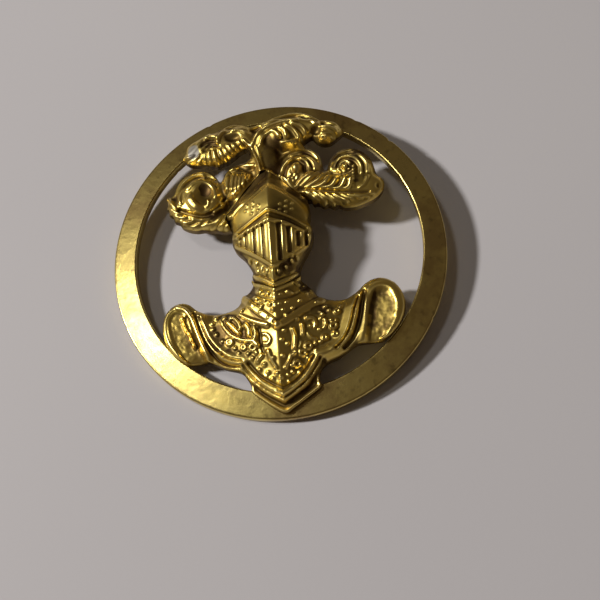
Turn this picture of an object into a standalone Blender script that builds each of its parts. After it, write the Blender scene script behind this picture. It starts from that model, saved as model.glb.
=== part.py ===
"""Gilt cap badge: a pierced ring carrying a plumed helm over a cuirass, with a brooch pin on its back.

The badge lies face up. +X is to the right as one faces it, +Y runs up the badge and +Z comes out of
its face. The origin is on the ring's axis, level with the lowest point of the catch on the back.
"""
import math

import bmesh
import bpy
from mathutils import Matrix

MM = 0.001

# Driving dimensions, in millimetres
RING_OUTER_R = 20.5
RING_HOLE_R = 17.65
HOLE_RISE = 0.45            # the hole sits high, so the band is wider at the bottom
RING_THICK = 1.4
RING_CHAMFER = 0.25
RING_STEPS = 128
RING_BACK_Z = 2.6
RING_FRONT_Z = RING_BACK_Z + RING_THICK
SOLDER = 0.05               # solder film between stamped pieces
EMBLEM_Z = RING_FRONT_Z + SOLDER
WALL = 0.7                  # sheet thickness of the struck pieces
AXIS_X = -0.15              # the emblem's centre line

BROOCH_Y = 8.6
BAR_HALF_LENGTH = 12.0
BAR_HALF_WIDTH = 1.5
BAR_THICK = 0.6
BAR_TOP_Z = RING_FRONT_Z
BAR_BOTTOM_Z = BAR_TOP_Z - BAR_THICK
FOOT_TOP_Z = BAR_BOTTOM_Z - SOLDER
PIN_R = 0.42
PIN_TIP_X = 11.6
HINGE_X = -10.2
EYE_R = 0.85
EYE_HALF_WIDTH = 0.55
RIVET_R = 0.35
RUNNING_FIT = 0.06
EAR_THICK = 0.45
EAR_INNER_Y = EYE_HALF_WIDTH + 0.12
EAR_R = 0.85
CATCH_X = 9.4
CATCH_HALF_LENGTH = 1.1
HOUSING_R = 1.6
HOUSING_BORE_R = 1.2
ROTOR_R = HOUSING_BORE_R - 0.07
ROTOR_BORE_R = 0.62
SLOT_HALF_WIDTH = 0.56
PIN_Z = math.sqrt(HOUSING_R ** 2 - SLOT_HALF_WIDTH ** 2)    # puts the slot's lips at z = 0
COLLAR_THICK = 0.4
COLLAR_R = 1.5
COLLAR_GAP = 0.08
LEVER_REACH = 2.35
LEVER_HALF_WIDTH = 0.4


def clear_scene():
    for obj in list(bpy.data.objects):
        bpy.data.objects.remove(obj, do_unlink=True)


def material(name, colour, roughness, metallic=1.0):
    mat = bpy.data.materials.new(name)
    mat.use_nodes = True
    shader = mat.node_tree.nodes["Principled BSDF"]
    shader.inputs["Base Color"].default_value = (*colour, 1.0)
    shader.inputs["Roughness"].default_value = roughness
    shader.inputs["Metallic"].default_value = metallic
    return mat


def place(name, mesh, mat, origin=(0, 0, 0)):
    """Put a mesh, given in millimetres round its own origin, into the scene in metres."""
    mesh.transform(Matrix.Scale(MM, 4))
    obj = bpy.data.objects.new(name, mesh)
    bpy.context.collection.objects.link(obj)
    obj.location = [value * MM for value in origin]
    mesh.materials.append(mat)
    mesh.shade_smooth()
    mesh.set_sharp_from_angle(angle=math.radians(35))
    return obj


def finish(bm, name):
    bmesh.ops.recalc_face_normals(bm, faces=bm.faces)
    mesh = bpy.data.meshes.new(name)
    bm.to_mesh(mesh)
    bm.free()
    return mesh


def extruded(name, outline, low, high, axis="Z"):
    """A closed prism of an outline, standing along one axis between two levels."""
    bm = bmesh.new()
    spots = {
        "X": lambda a, b, level: (level, a, b),
        "Y": lambda a, b, level: (a, level, b),
        "Z": lambda a, b, level: (a, b, level),
    }[axis]
    bottom = [bm.verts.new(spots(a, b, low)) for a, b in outline]
    top = [bm.verts.new(spots(a, b, high)) for a, b in outline]
    bm.faces.new(bottom)
    bm.faces.new(reversed(top))
    for i in range(len(outline)):
        j = (i + 1) % len(outline)
        bm.faces.new((bottom[i], top[i], top[j], bottom[j]))
    return finish(bm, name)


def lathe(name, profile, steps, axis="Z"):
    """A closed solid turned from (radius, height) points; radius 0 makes a pole."""
    bm = bmesh.new()
    rings = []
    for radius, height in profile:
        ring = []
        for i in range(steps if radius > 0 else 1):
            angle = 2 * math.pi * i / steps
            a, b = radius * math.cos(angle), radius * math.sin(angle)
            ring.append(bm.verts.new({"X": (height, a, b), "Y": (a, height, b), "Z": (a, b, height)}[axis]))
        rings.append(ring)
    for lower, upper in zip(rings, rings[1:]):
        for i in range(steps):
            j = (i + 1) % steps
            corners = [lower[i % len(lower)], lower[j % len(lower)], upper[j % len(upper)], upper[i % len(upper)]]
            bm.faces.new(list(dict.fromkeys(corners)))
    return finish(bm, name)


def arc(centre, radius, start, end, steps):
    """Points on an arc, angles in degrees."""
    points = []
    for i in range(steps + 1):
        angle = math.radians(start + (end - start) * i / steps)
        points.append((centre[0] + radius * math.cos(angle), centre[1] + radius * math.sin(angle)))
    return points


def smooth_outline(points, per_span=3):
    """A closed Catmull-Rom curve through hand-chosen points."""
    count = len(points)
    result = []
    for i in range(count):
        p0, p1, p2, p3 = (points[(i + k - 1) % count] for k in range(4))
        for step in range(per_span):
            t = step / per_span
            result.append(tuple(
                0.5 * (2 * b + (c - a) * t + (2 * a - 5 * b + 4 * c - d) * t * t + (3 * b - a - 3 * c + d) * t ** 3)
                for a, b, c, d in zip(p0, p1, p2, p3)
            ))
    return result


def boolean(target, tool, operation):
    """Apply one exact Boolean and remove the tool."""
    modifier = target.modifiers.new(operation, "BOOLEAN")
    modifier.operation = operation
    modifier.solver = "EXACT"
    modifier.object = tool
    graph = bpy.context.evaluated_depsgraph_get()
    mesh = bpy.data.meshes.new_from_object(target.evaluated_get(graph))
    target.modifiers.clear()
    old = target.data
    target.data = mesh
    bpy.data.meshes.remove(old)
    bpy.data.objects.remove(tool, do_unlink=True)


# ---- ring -------------------------------------------------------------------------------------

def make_ring(mat):
    """A flat band between two circles that aren't quite concentric, with chamfered front edges."""
    bm = bmesh.new()
    profile = [
        (0.0, 1.0, RING_BACK_Z), (0.0, 1.0, RING_FRONT_Z - RING_CHAMFER), (RING_CHAMFER, 1.0, RING_FRONT_Z),
        (RING_CHAMFER, 0.0, RING_FRONT_Z), (0.0, 0.0, RING_FRONT_Z - RING_CHAMFER), (0.0, 0.0, RING_BACK_Z),
    ]
    loops = []
    for inset, outside, z in profile:
        radius = RING_OUTER_R - inset if outside else RING_HOLE_R + inset
        rise = 0.0 if outside else HOLE_RISE
        loop = []
        for i in range(RING_STEPS):
            angle = 2 * math.pi * i / RING_STEPS
            loop.append(bm.verts.new((radius * math.cos(angle), rise + radius * math.sin(angle), z)))
        loops.append(loop)
    for k, loop in enumerate(loops):
        following = loops[(k + 1) % len(loops)]
        for i in range(RING_STEPS):
            j = (i + 1) % RING_STEPS
            bm.faces.new((loop[i], loop[j], following[j], following[i]))
    return place("ring", finish(bm, "ring"), mat)


# ---- struck shells ----------------------------------------------------------------------------

def shell(name, outer, inner):
    """The closed shell between two grids of points that have the same rows and columns."""
    bm = bmesh.new()
    top = [[bm.verts.new(p) for p in row] for row in outer]
    low = [[bm.verts.new(p) for p in row] for row in inner]
    rows, cols = len(top), len(top[0])
    for grid in (top, low):
        for r in range(rows - 1):
            for c in range(cols - 1):
                bm.faces.new((grid[r][c], grid[r][c + 1], grid[r + 1][c + 1], grid[r + 1][c]))
    for r in (0, rows - 1):
        for c in range(cols - 1):
            bm.faces.new((top[r][c], top[r][c + 1], low[r][c + 1], low[r][c]))
    for c in (0, cols - 1):
        for r in range(rows - 1):
            bm.faces.new((top[r][c], top[r + 1][c], low[r + 1][c], low[r][c]))
    return finish(bm, name)


# Helm stations, from the throat up: ridge y, edge y, half width, ridge height, edge height
HELM_STATIONS = [
    (-5.90, -3.60, 2.60, 4.00, 1.0),
    (-4.70, -2.40, 2.75, 4.50, 1.0),
    (-4.00, -1.30, 3.30, 5.00, 1.0),
    (-3.40, -0.30, 4.10, 5.25, 1.0),
    (-2.40, 0.30, 4.85, 5.40, 1.0),
    (0.50, 1.70, 5.05, 5.60, 1.0),
    (3.00, 2.90, 4.95, 5.60, 1.0),
    (3.90, 3.70, 5.05, 5.90, 1.0),
    (4.90, 4.70, 5.30, 5.50, 1.0),
    (6.60, 6.20, 4.95, 4.70, 1.0),
    (8.20, 7.60, 4.30, 3.70, 1.0),
    (9.40, 8.80, 3.50, 2.60, 1.0),
    (10.30, 9.80, 2.60, 1.20, 0.9),
]
HELM_ACROSS = [-1.0, -0.8, -0.5, -0.25, 0.0, 0.25, 0.5, 0.8, 1.0]
FACE_CURVE = 0.75           # under 1 makes the cheeks full instead of flat


def helm_rows(inset):
    rows = []
    for ridge_y, edge_y, half, ridge_h, edge_h in HELM_STATIONS:
        width = half - inset
        row = [(AXIS_X - width, edge_y, EMBLEM_Z)]
        for u in HELM_ACROSS:
            rise = edge_h + (ridge_h - edge_h) * (1 - abs(u)) ** FACE_CURVE
            y = ridge_y + (edge_y - ridge_y) * abs(u)
            row.append((AXIS_X + width * u, y, EMBLEM_Z + rise - inset))
        row.append((AXIS_X + width, edge_y, EMBLEM_Z))
        rows.append(row)
    return rows


def make_helm(mat):
    return place("helm", shell("helm", helm_rows(0.0), helm_rows(WALL)), mat)


# Cuirass stations, left to right: x, top y, bottom y, height along the middle, height of the rims
CUIRASS_HALF = [
    (14.30, -7.40, -9.80, 1.1, 0.9),
    (13.60, -6.30, -11.40, 1.0, 1.1),
    (12.60, -5.50, -12.60, 0.9, 1.3),
    (11.40, -5.60, -13.20, 1.0, 1.3),
    (10.30, -6.40, -13.40, 1.8, 1.1),
    (8.80, -7.30, -13.50, 2.0, 0.9),
    (7.00, -7.50, -13.70, 2.1, 0.9),
    (5.20, -6.60, -14.30, 2.6, 0.9),
    (4.20, -5.60, -15.80, 3.0, 0.9),
    (3.00, -4.40, -17.20, 3.3, 1.0),
    (2.60, -3.70, -17.60, 3.4, 1.0),
    (1.30, -4.85, -18.80, 3.7, 1.6),
]
CUIRASS_RIDGE = (0.0, -6.00, -20.00, 4.0, 0.8)
NECK_HALF = 2.6
NECK_RISE = 3.0
CUIRASS_ALONG = [0.0, 0.08, 0.22, 0.4, 0.6, 0.8, 0.93, 1.0]


def cuirass_rows(inset):
    left = [(AXIS_X - x, *rest) for x, *rest in CUIRASS_HALF]
    right = [(AXIS_X + x, *rest) for x, *rest in reversed(CUIRASS_HALF)]
    ridge = [(AXIS_X, *CUIRASS_RIDGE[1:])]
    rows = []
    for x, top_y, bottom_y, middle, rim in left + ridge + right:
        beside = abs(x - AXIS_X)
        neck = max(0.0, 1 - beside / (NECK_HALF + 0.4)) * NECK_RISE
        shrink = 1 - 2 * inset / (top_y - bottom_y)
        centre = (top_y + bottom_y) / 2
        row = [(x, centre + (top_y - centre) * shrink, EMBLEM_Z)]
        for t in CUIRASS_ALONG:
            y = top_y + (bottom_y - top_y) * t
            swell = math.sin(math.pi * min(t, 1 - t)) if 0 < t < 1 else 0.0
            rise = rim + (middle - rim) * min(1.0, 1.6 * swell) + neck * (1 - t) ** 3
            row.append((x, centre + (y - centre) * shrink, EMBLEM_Z + rise - inset))
        row.append((x, centre + (bottom_y - centre) * shrink, EMBLEM_Z))
        rows.append(row)
    return rows


def make_cuirass(mat):
    outer = cuirass_rows(0.0)
    inner = cuirass_rows(WALL)
    shift = WALL * 0.8
    inner[0] = [(x + shift, y, z) for x, y, z in inner[0]]
    inner[-1] = [(x - shift, y, z) for x, y, z in inner[-1]]
    return place("cuirass", shell("cuirass", outer, inner), mat)


# ---- plume crest ------------------------------------------------------------------------------

# Each feather: outline points, height of its back, then the hollow behind it (centre, radii, depth)
FEATHERS = {
    "low_left_curl": (
        [(-13.5, 8.1), (-12.9, 5.6), (-10.9, 3.8), (-8.4, 3.2), (-5.6, 3.4), (-4.6, 5.4), (-5.6, 7.6),
         (-6.3, 9.1), (-7.2, 11.0), (-9.3, 11.9), (-11.4, 10.7), (-12.8, 9.6)],
        3.0, (-9.4, 7.5), (3.2, 3.2), 1.9),
    "small_left_curl": (
        [(-6.9, 8.6), (-6.3, 11.0), (-4.5, 12.3), (-2.4, 12.2), (-1.6, 10.2), (-4.0, 7.6)],
        2.5, (-4.3, 10.8), (1.4, 1.0), 1.3),
    "upper_left_feather": (
        [(-11.2, 13.5), (-10.2, 15.3), (-8.2, 16.9), (-5.0, 17.9), (-3.0, 17.5), (-1.6, 16.0), (-2.2, 13.9),
         (-4.8, 12.7), (-7.2, 11.6), (-9.3, 12.4)],
        2.2, (-6.0, 14.8), (2.8, 1.7), 1.3),
    "centre_feather": (
        [(-2.9, 9.6), (-2.8, 14.6), (-2.0, 17.0), (0.2, 18.1), (2.6, 18.6), (4.8, 18.0), (6.6, 17.1),
         (8.3, 16.6), (9.0, 15.4), (8.0, 14.1), (6.0, 13.8), (3.4, 13.6), (1.4, 12.2), (1.0, 9.8)],
        2.2, (1.4, 16.0), (2.8, 1.5), 1.3),
    "right_inner_curl": (
        [(-0.2, 9.0), (0.6, 12.0), (2.4, 13.9), (4.8, 13.6), (6.3, 12.2), (6.8, 9.8), (4.2, 7.4), (1.6, 7.6)],
        2.8, (3.3, 10.6), (2.0, 1.7), 1.6),
    "right_leaf_feather": (
        [(3.0, 7.6), (3.6, 6.2), (6.0, 5.3), (8.6, 4.6), (11.2, 5.0), (13.0, 6.1), (13.6, 7.5), (13.0, 9.2),
         (12.3, 10.9), (11.0, 12.5), (9.0, 13.0), (7.2, 12.2), (6.6, 10.4), (5.2, 9.8)],
        2.7, (9.4, 8.4), (3.0, 2.8), 1.6),
}
CREST_RIM = 0.9
LOBE_STEPS = [(1.0, 0.0), (1.0, CREST_RIM), (0.86, None), (0.64, None), (0.34, None)]


def feather_lobe(name, outline, height):
    """A closed lobe: a rim wall, then the outline stepped in towards its middle and upwards."""
    points = smooth_outline(outline)
    centre = [sum(p[k] for p in points) / len(points) for k in (0, 1)]
    bm = bmesh.new()
    loops = []
    for scale, rise in LOBE_STEPS:
        if rise is None:
            rise = CREST_RIM + (height - CREST_RIM) * math.sqrt(1 - scale ** 2)
        loops.append([bm.verts.new((
            centre[0] + (x - centre[0]) * scale, centre[1] + (y - centre[1]) * scale, EMBLEM_Z + rise))
            for x, y in points])
    bm.faces.new(reversed(loops[0]))
    bm.faces.new(loops[-1])
    for lower, upper in zip(loops, loops[1:]):
        for i in range(len(points)):
            j = (i + 1) % len(points)
            bm.faces.new((lower[i], lower[j], upper[j], upper[i]))
    return finish(bm, name)


def hollow(name, centre, radii, depth, mat):
    """A flattened ball whose upper half is the hollow behind one feather."""
    bm = bmesh.new()
    bmesh.ops.create_uvsphere(bm, u_segments=16, v_segments=8, radius=1.0)
    for vert in bm.verts:
        vert.co.x = centre[0] + vert.co.x * radii[0]
        vert.co.y = centre[1] + vert.co.y * radii[1]
        vert.co.z = EMBLEM_Z + vert.co.z * depth
    return place(name, finish(bm, name), mat)


def helm_cut_outline():
    left = [(AXIS_X - half - SOLDER, edge_y + SOLDER) for _, edge_y, half, _, _ in HELM_STATIONS]
    right = [(AXIS_X + half + SOLDER, edge_y + SOLDER) for _, edge_y, half, _, _ in HELM_STATIONS]
    top = (AXIS_X, HELM_STATIONS[-1][0] + SOLDER)
    return right + [top] + left[::-1]


def make_crest(mat):
    crest = None
    for name, (outline, height, *_) in FEATHERS.items():
        lobe = place("plume_crest" if crest is None else name, feather_lobe(name, outline, height), mat)
        if crest is None:
            crest = lobe
        else:
            boolean(crest, lobe, "UNION")
    for name, (_, _, centre, radii, depth) in FEATHERS.items():
        boolean(crest, hollow(name + "_hollow", centre, radii, depth, mat), "DIFFERENCE")
    seat = place("helm_seat", extruded("helm_seat", helm_cut_outline(), 0.0, 20.0), mat)
    boolean(crest, seat, "DIFFERENCE")
    crest.data.shade_smooth()
    crest.data.set_sharp_from_angle(angle=math.radians(35))
    return crest


# ---- brooch -----------------------------------------------------------------------------------

def make_brooch_bar(mat):
    side = BAR_HALF_WIDTH
    straight = BAR_HALF_LENGTH - side
    outline = arc((straight, BROOCH_Y), side, -90, 90, 12) + arc((-straight, BROOCH_Y), side, 90, 270, 12)
    return place("brooch_bar", extruded("brooch_bar", outline, BAR_BOTTOM_Z, BAR_TOP_Z), mat)


def hinge_ear_outline():
    """An ear in the X-Z plane: square at the foot, round about the rivet."""
    return ([(HINGE_X + EAR_R, FOOT_TOP_Z), (HINGE_X - EAR_R, FOOT_TOP_Z)]
            + arc((HINGE_X, PIN_Z), EAR_R, 180, 360, 12))


def make_hinge_bracket(mat):
    outer = EAR_INNER_Y + EAR_THICK
    foot_bottom = FOOT_TOP_Z - 0.4
    foot = [(HINGE_X - 1.3, BROOCH_Y - outer), (HINGE_X + 1.3, BROOCH_Y - outer),
            (HINGE_X + 1.3, BROOCH_Y + outer), (HINGE_X - 1.3, BROOCH_Y + outer)]
    bracket = place("hinge_bracket", extruded("hinge_bracket", foot, foot_bottom, FOOT_TOP_Z), mat)
    for side in (-1, 1):
        low, high = sorted((BROOCH_Y + side * EAR_INNER_Y, BROOCH_Y + side * outer))
        ear = place("ear", extruded("ear", hinge_ear_outline(), low, high, axis="Y"), mat)
        boolean(bracket, ear, "UNION")
    drill_r = RIVET_R + RUNNING_FIT
    drill = place("drill", lathe("drill", [(0, -3), (drill_r, -3), (drill_r, 3), (0, 3)], 24, axis="Y"), mat,
                  (HINGE_X, BROOCH_Y, PIN_Z))
    boolean(bracket, drill, "DIFFERENCE")
    return bracket


def make_hinge_rivet(mat):
    """A shank through both ears, with a low round head at each end."""
    inner = EAR_INNER_Y + EAR_THICK + SOLDER
    profile = [
        (0, -inner - 0.3), (0.35, -inner - 0.26), (0.55, -inner - 0.12), (0.55, -inner), (RIVET_R, -inner),
        (RIVET_R, inner), (0.55, inner), (0.55, inner + 0.12), (0.35, inner + 0.26), (0, inner + 0.3),
    ]
    return place("hinge_rivet", lathe("hinge_rivet", profile, 24, axis="Y"), mat, (HINGE_X, BROOCH_Y, PIN_Z))


def make_pin_wire(mat):
    """The pin: a flattened eye round the rivet, a straight round wire and a ground point."""
    length = PIN_TIP_X - HINGE_X
    profile = [(0, 0.6), (PIN_R, 0.6), (PIN_R, length - 4.0), (0.34, length - 2.4), (0.2, length - 0.9),
               (0.07, length - 0.12), (0, length)]
    wire = place("pin_wire", lathe("pin_wire", profile, 16, axis="X"), mat, (HINGE_X, BROOCH_Y, PIN_Z))
    eye_profile = [(0, -EYE_HALF_WIDTH), (EYE_R - 0.12, -EYE_HALF_WIDTH), (EYE_R, -EYE_HALF_WIDTH + 0.12),
                   (EYE_R, EYE_HALF_WIDTH - 0.12), (EYE_R - 0.12, EYE_HALF_WIDTH), (0, EYE_HALF_WIDTH)]
    eye = place("eye", lathe("eye", eye_profile, 32, axis="Y"), mat, (HINGE_X, BROOCH_Y, PIN_Z))
    boolean(wire, eye, "UNION")
    hole_r = RIVET_R + RUNNING_FIT
    hole = place("hole", lathe("hole", [(0, -2), (hole_r, -2), (hole_r, 2), (0, 2)], 24, axis="Y"), mat,
                 (HINGE_X, BROOCH_Y, PIN_Z))
    boolean(wire, hole, "DIFFERENCE")
    return wire


def c_outline(outer_r, inner_r, opening):
    """A split collar's outline round (0, 0), with its slot facing down."""
    outer_half = math.degrees(math.asin(SLOT_HALF_WIDTH / outer_r))
    inner_half = math.degrees(math.asin(min(0.98, SLOT_HALF_WIDTH / inner_r)))
    return (arc((0, 0), outer_r, opening + outer_half, opening + 360 - outer_half, 28)
            + arc((0, 0), inner_r, opening + 360 - inner_half, opening + inner_half, 20))


def make_catch_housing(mat):
    """The split barrel that the rotor turns in, on a foot soldered to the bar."""
    origin = (CATCH_X, BROOCH_Y, PIN_Z)
    barrel = extruded("catch_housing", c_outline(HOUSING_R, HOUSING_BORE_R, -90),
                      -CATCH_HALF_LENGTH, CATCH_HALF_LENGTH, axis="X")
    housing = place("catch_housing", barrel, mat, origin)
    top = FOOT_TOP_Z - PIN_Z
    foot_outline = [(-1.35, top), (-1.35, 1.15), (-0.7, HOUSING_BORE_R + 0.12), (0.7, HOUSING_BORE_R + 0.12),
                    (1.35, 1.15), (1.35, top)]
    foot = place("foot", extruded("foot", foot_outline, -CATCH_HALF_LENGTH, CATCH_HALF_LENGTH, axis="X"),
                 mat, origin)
    boolean(housing, foot, "UNION")
    return housing


def make_catch_rotor(mat):
    """The turning sleeve, a collar at each end and a thumb lever on the outer collar."""
    origin = (CATCH_X, BROOCH_Y, PIN_Z)
    inner_face = CATCH_HALF_LENGTH + COLLAR_GAP
    outer_face = inner_face + COLLAR_THICK
    sleeve = extruded("catch_rotor", c_outline(ROTOR_R, ROTOR_BORE_R, -90), -outer_face, outer_face, axis="X")
    rotor = place("catch_rotor", sleeve, mat, origin)
    collar_outline = c_outline(COLLAR_R, ROTOR_BORE_R + 0.01, -90)
    for side in (-1, 1):
        low, high = sorted((side * inner_face, side * (outer_face + 0.01)))
        collar = place("collar", extruded("collar", collar_outline, low, high, axis="X"), mat, origin)
        boolean(rotor, collar, "UNION")
    across = math.radians(135)
    along = (math.cos(across), math.sin(across))
    side_way = (-along[1], along[0])
    lever_outline = [(0.85 * along[0] - LEVER_HALF_WIDTH * side_way[0],
                      0.85 * along[1] - LEVER_HALF_WIDTH * side_way[1])]
    tip = (along[0] * (LEVER_REACH - LEVER_HALF_WIDTH), along[1] * (LEVER_REACH - LEVER_HALF_WIDTH))
    lever_outline += arc(tip, LEVER_HALF_WIDTH, 45, 225, 8)
    lever_outline += [(0.85 * along[0] + LEVER_HALF_WIDTH * side_way[0],
                       0.85 * along[1] + LEVER_HALF_WIDTH * side_way[1])]
    lever = place("lever", extruded("lever", lever_outline, inner_face + 0.02, outer_face + 0.2, axis="X"),
                  mat, origin)
    boolean(rotor, lever, "UNION")
    return rotor


def build():
    clear_scene()
    gilt_ring = material("gilt_ring", (0.55, 0.43, 0.16), 0.38)
    gilt_relief = material("gilt_relief", (0.66, 0.47, 0.17), 0.3)
    brass = material("plain_brass", (0.6, 0.46, 0.2), 0.42)
    steel = material("pin_steel", (0.52, 0.5, 0.45), 0.35)
    make_ring(gilt_ring)
    make_helm(gilt_relief)
    make_cuirass(gilt_relief)
    make_crest(gilt_relief)
    make_brooch_bar(brass)
    make_hinge_bracket(brass)
    make_hinge_rivet(brass)
    make_pin_wire(steel)
    make_catch_housing(brass)
    make_catch_rotor(brass)


build()
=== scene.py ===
"""Looks of the gilt cap badge: struck relief, tarnished gilt with painted shade and highlights, and the
brooch on its back.

Everything is laid out in millimetres on the ring's front face, with x to the right, y up the badge and
heights above that face, and goes to metres when a mesh is made. The emblem was drawn as it is seen from
one eye point, so plan() takes a drawn point of a given height to its true place, and seen() goes back.
"""
import math

import bpy
import numpy as np
from mathutils import Matrix, Vector


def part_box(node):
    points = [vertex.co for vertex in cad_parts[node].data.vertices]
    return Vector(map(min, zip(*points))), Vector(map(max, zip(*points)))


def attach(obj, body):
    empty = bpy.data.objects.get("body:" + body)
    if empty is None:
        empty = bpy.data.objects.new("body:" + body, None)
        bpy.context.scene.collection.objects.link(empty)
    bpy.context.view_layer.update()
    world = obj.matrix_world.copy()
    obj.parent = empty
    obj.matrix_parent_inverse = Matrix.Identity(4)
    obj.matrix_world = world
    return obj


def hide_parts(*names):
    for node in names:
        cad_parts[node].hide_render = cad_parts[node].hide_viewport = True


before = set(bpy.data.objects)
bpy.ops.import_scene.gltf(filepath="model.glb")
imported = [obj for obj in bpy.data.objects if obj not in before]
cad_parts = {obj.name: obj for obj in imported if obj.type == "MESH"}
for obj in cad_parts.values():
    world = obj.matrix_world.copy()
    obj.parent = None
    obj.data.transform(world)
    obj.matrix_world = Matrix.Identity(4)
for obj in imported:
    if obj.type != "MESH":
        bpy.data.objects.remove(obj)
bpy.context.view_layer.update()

MM = 0.001
RING_LOW, RING_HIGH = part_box("ring")
FACE_Z = RING_HIGH.z / MM                    # the ring's front face, above the frame's origin
RING_R = (RING_HIGH.x - RING_LOW.x) / 2 / MM
RING_THICK = (RING_HIGH.z - RING_LOW.z) / MM
SOLDER = 0.05
EMBLEM_Z = FACE_Z + SOLDER
AXIS_X = -0.15                               # the emblem's centre line
EYE = np.array([13.0, -45.9, 112.3])         # where the emblem is drawn and seen from, over the ring
STEP = 0.075                                 # spacing of the relief grids
WALL = 0.7                                   # sheet thickness of the struck pieces
EDGE_ROUND, EDGE_DROP = 0.22, 0.18           # width and depth of the rounding along a free edge
LAND, HOLLOW_SLOPE = 0.75, 1.6               # the back's flat edge, and how steeply the hollow rises from it
WALL_INSET = 0.05                            # the wall's own points stand this far off its two edges
DEEP, FINE = 0.25, 0.06                      # depths at which a hollow and a fine line are darkened in full, as patina and painted shade


# ---- drawing on the relief --------------------------------------------------------------------

def plan(points):
    """True places of drawn points given as (x, y, height)."""
    points = np.asarray(points, float)
    share = (EYE[2] - points[:, 2:3]) / EYE[2]
    return EYE[:2] + (points[:, :2] - EYE[:2]) * share


def seen(x, y, height):
    """Where a point of the relief appears in the drawing."""
    share = EYE[2] / (EYE[2] - height)
    return EYE[0] + (x - EYE[0]) * share, EYE[1] + (y - EYE[1]) * share


def spline(points, closed=False, steps=8):
    """A Catmull-Rom curve through given points of any dimension."""
    points = np.asarray(points, float)
    if closed:
        padded = np.vstack([points[-1], points, points[:2]])
    else:
        padded = np.vstack([2 * points[0] - points[1], points, 2 * points[-1] - points[-2]])
    t = np.linspace(0, 1, steps, endpoint=False)[:, None]
    spans = []
    for a, b, c, d in zip(padded, padded[1:], padded[2:], padded[3:]):
        spans.append(0.5 * (2 * b + (c - a) * t + (2 * a - 5 * b + 4 * c - d) * t ** 2
                            + (3 * b - a - 3 * c + d) * t ** 3))
    if not closed:
        spans.append(points[-1:])
    return np.vstack(spans)


def along(x, y, line):
    """Distance from each point to a polyline, the arc length there, and the whole length."""
    best = np.full(x.shape, 1e9)
    arc = np.zeros(x.shape)
    travelled = 0.0
    for (ax, ay), (bx, by) in zip(line[:-1], line[1:]):
        dx, dy = bx - ax, by - ay
        length = math.hypot(dx, dy)
        if length < 1e-6:
            continue
        t = np.clip(((x - ax) * dx + (y - ay) * dy) / length ** 2, 0, 1)
        gap = np.hypot(x - ax - t * dx, y - ay - t * dy)
        closer = gap < best
        best = np.where(closer, gap, best)
        arc = np.where(closer, travelled + t * length, arc)
        travelled += length
    return best, arc, travelled


def blur(grid, radius, passes=2):
    """A box blur, repeated; radius in grid steps."""
    size = 2 * radius + 1
    for _ in range(passes):
        for axis in (0, 1):
            pad = [(radius + 1, radius) if k == axis else (0, 0) for k in (0, 1)]
            total = np.cumsum(np.pad(grid, pad, mode="edge"), axis=axis)
            ahead = np.take(total, range(size, total.shape[axis]), axis=axis)
            behind = np.take(total, range(0, total.shape[axis] - size), axis=axis)
            grid = (ahead - behind) / size
    return grid


def ease(x, low, high):
    """A smooth step from 0 at low to 1 at high."""
    t = np.clip((x - low) / (high - low), 0, 1)
    return t * t * (3 - 2 * t)


def noise(x, y, size, seed):
    """Smooth value noise from -1 to 1, with lumps of about the given size."""
    cells = 64
    table = np.random.default_rng(seed).uniform(-1, 1, (cells, cells))
    u, v = x / size + 1000, y / size + 1000
    i, j = np.floor(u).astype(int), np.floor(v).astype(int)
    fu, fv = ease(u - i, 0, 1), ease(v - j, 0, 1)
    i, j = i % cells, j % cells
    k, m = (i + 1) % cells, (j + 1) % cells
    low = table[i, j] * (1 - fu) + table[k, j] * fu
    high = table[i, m] * (1 - fu) + table[k, m] * fu
    return low * (1 - fv) + high * fv


def inset(outline, x, y):
    """How far each point is inside a closed outline; negative outside it."""
    closed = np.vstack([outline, outline[:1]])
    edge = along(x, y, closed)[0]
    inside = np.zeros(x.shape, bool)
    for (ax, ay), (bx, by) in zip(closed[:-1], closed[1:]):
        if ay != by:
            crosses = (ay > y) != (by > y)
            inside ^= crosses & (x < ax + (y - ay) * (bx - ax) / (by - ay))
    return np.where(inside, edge, -edge)


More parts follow.
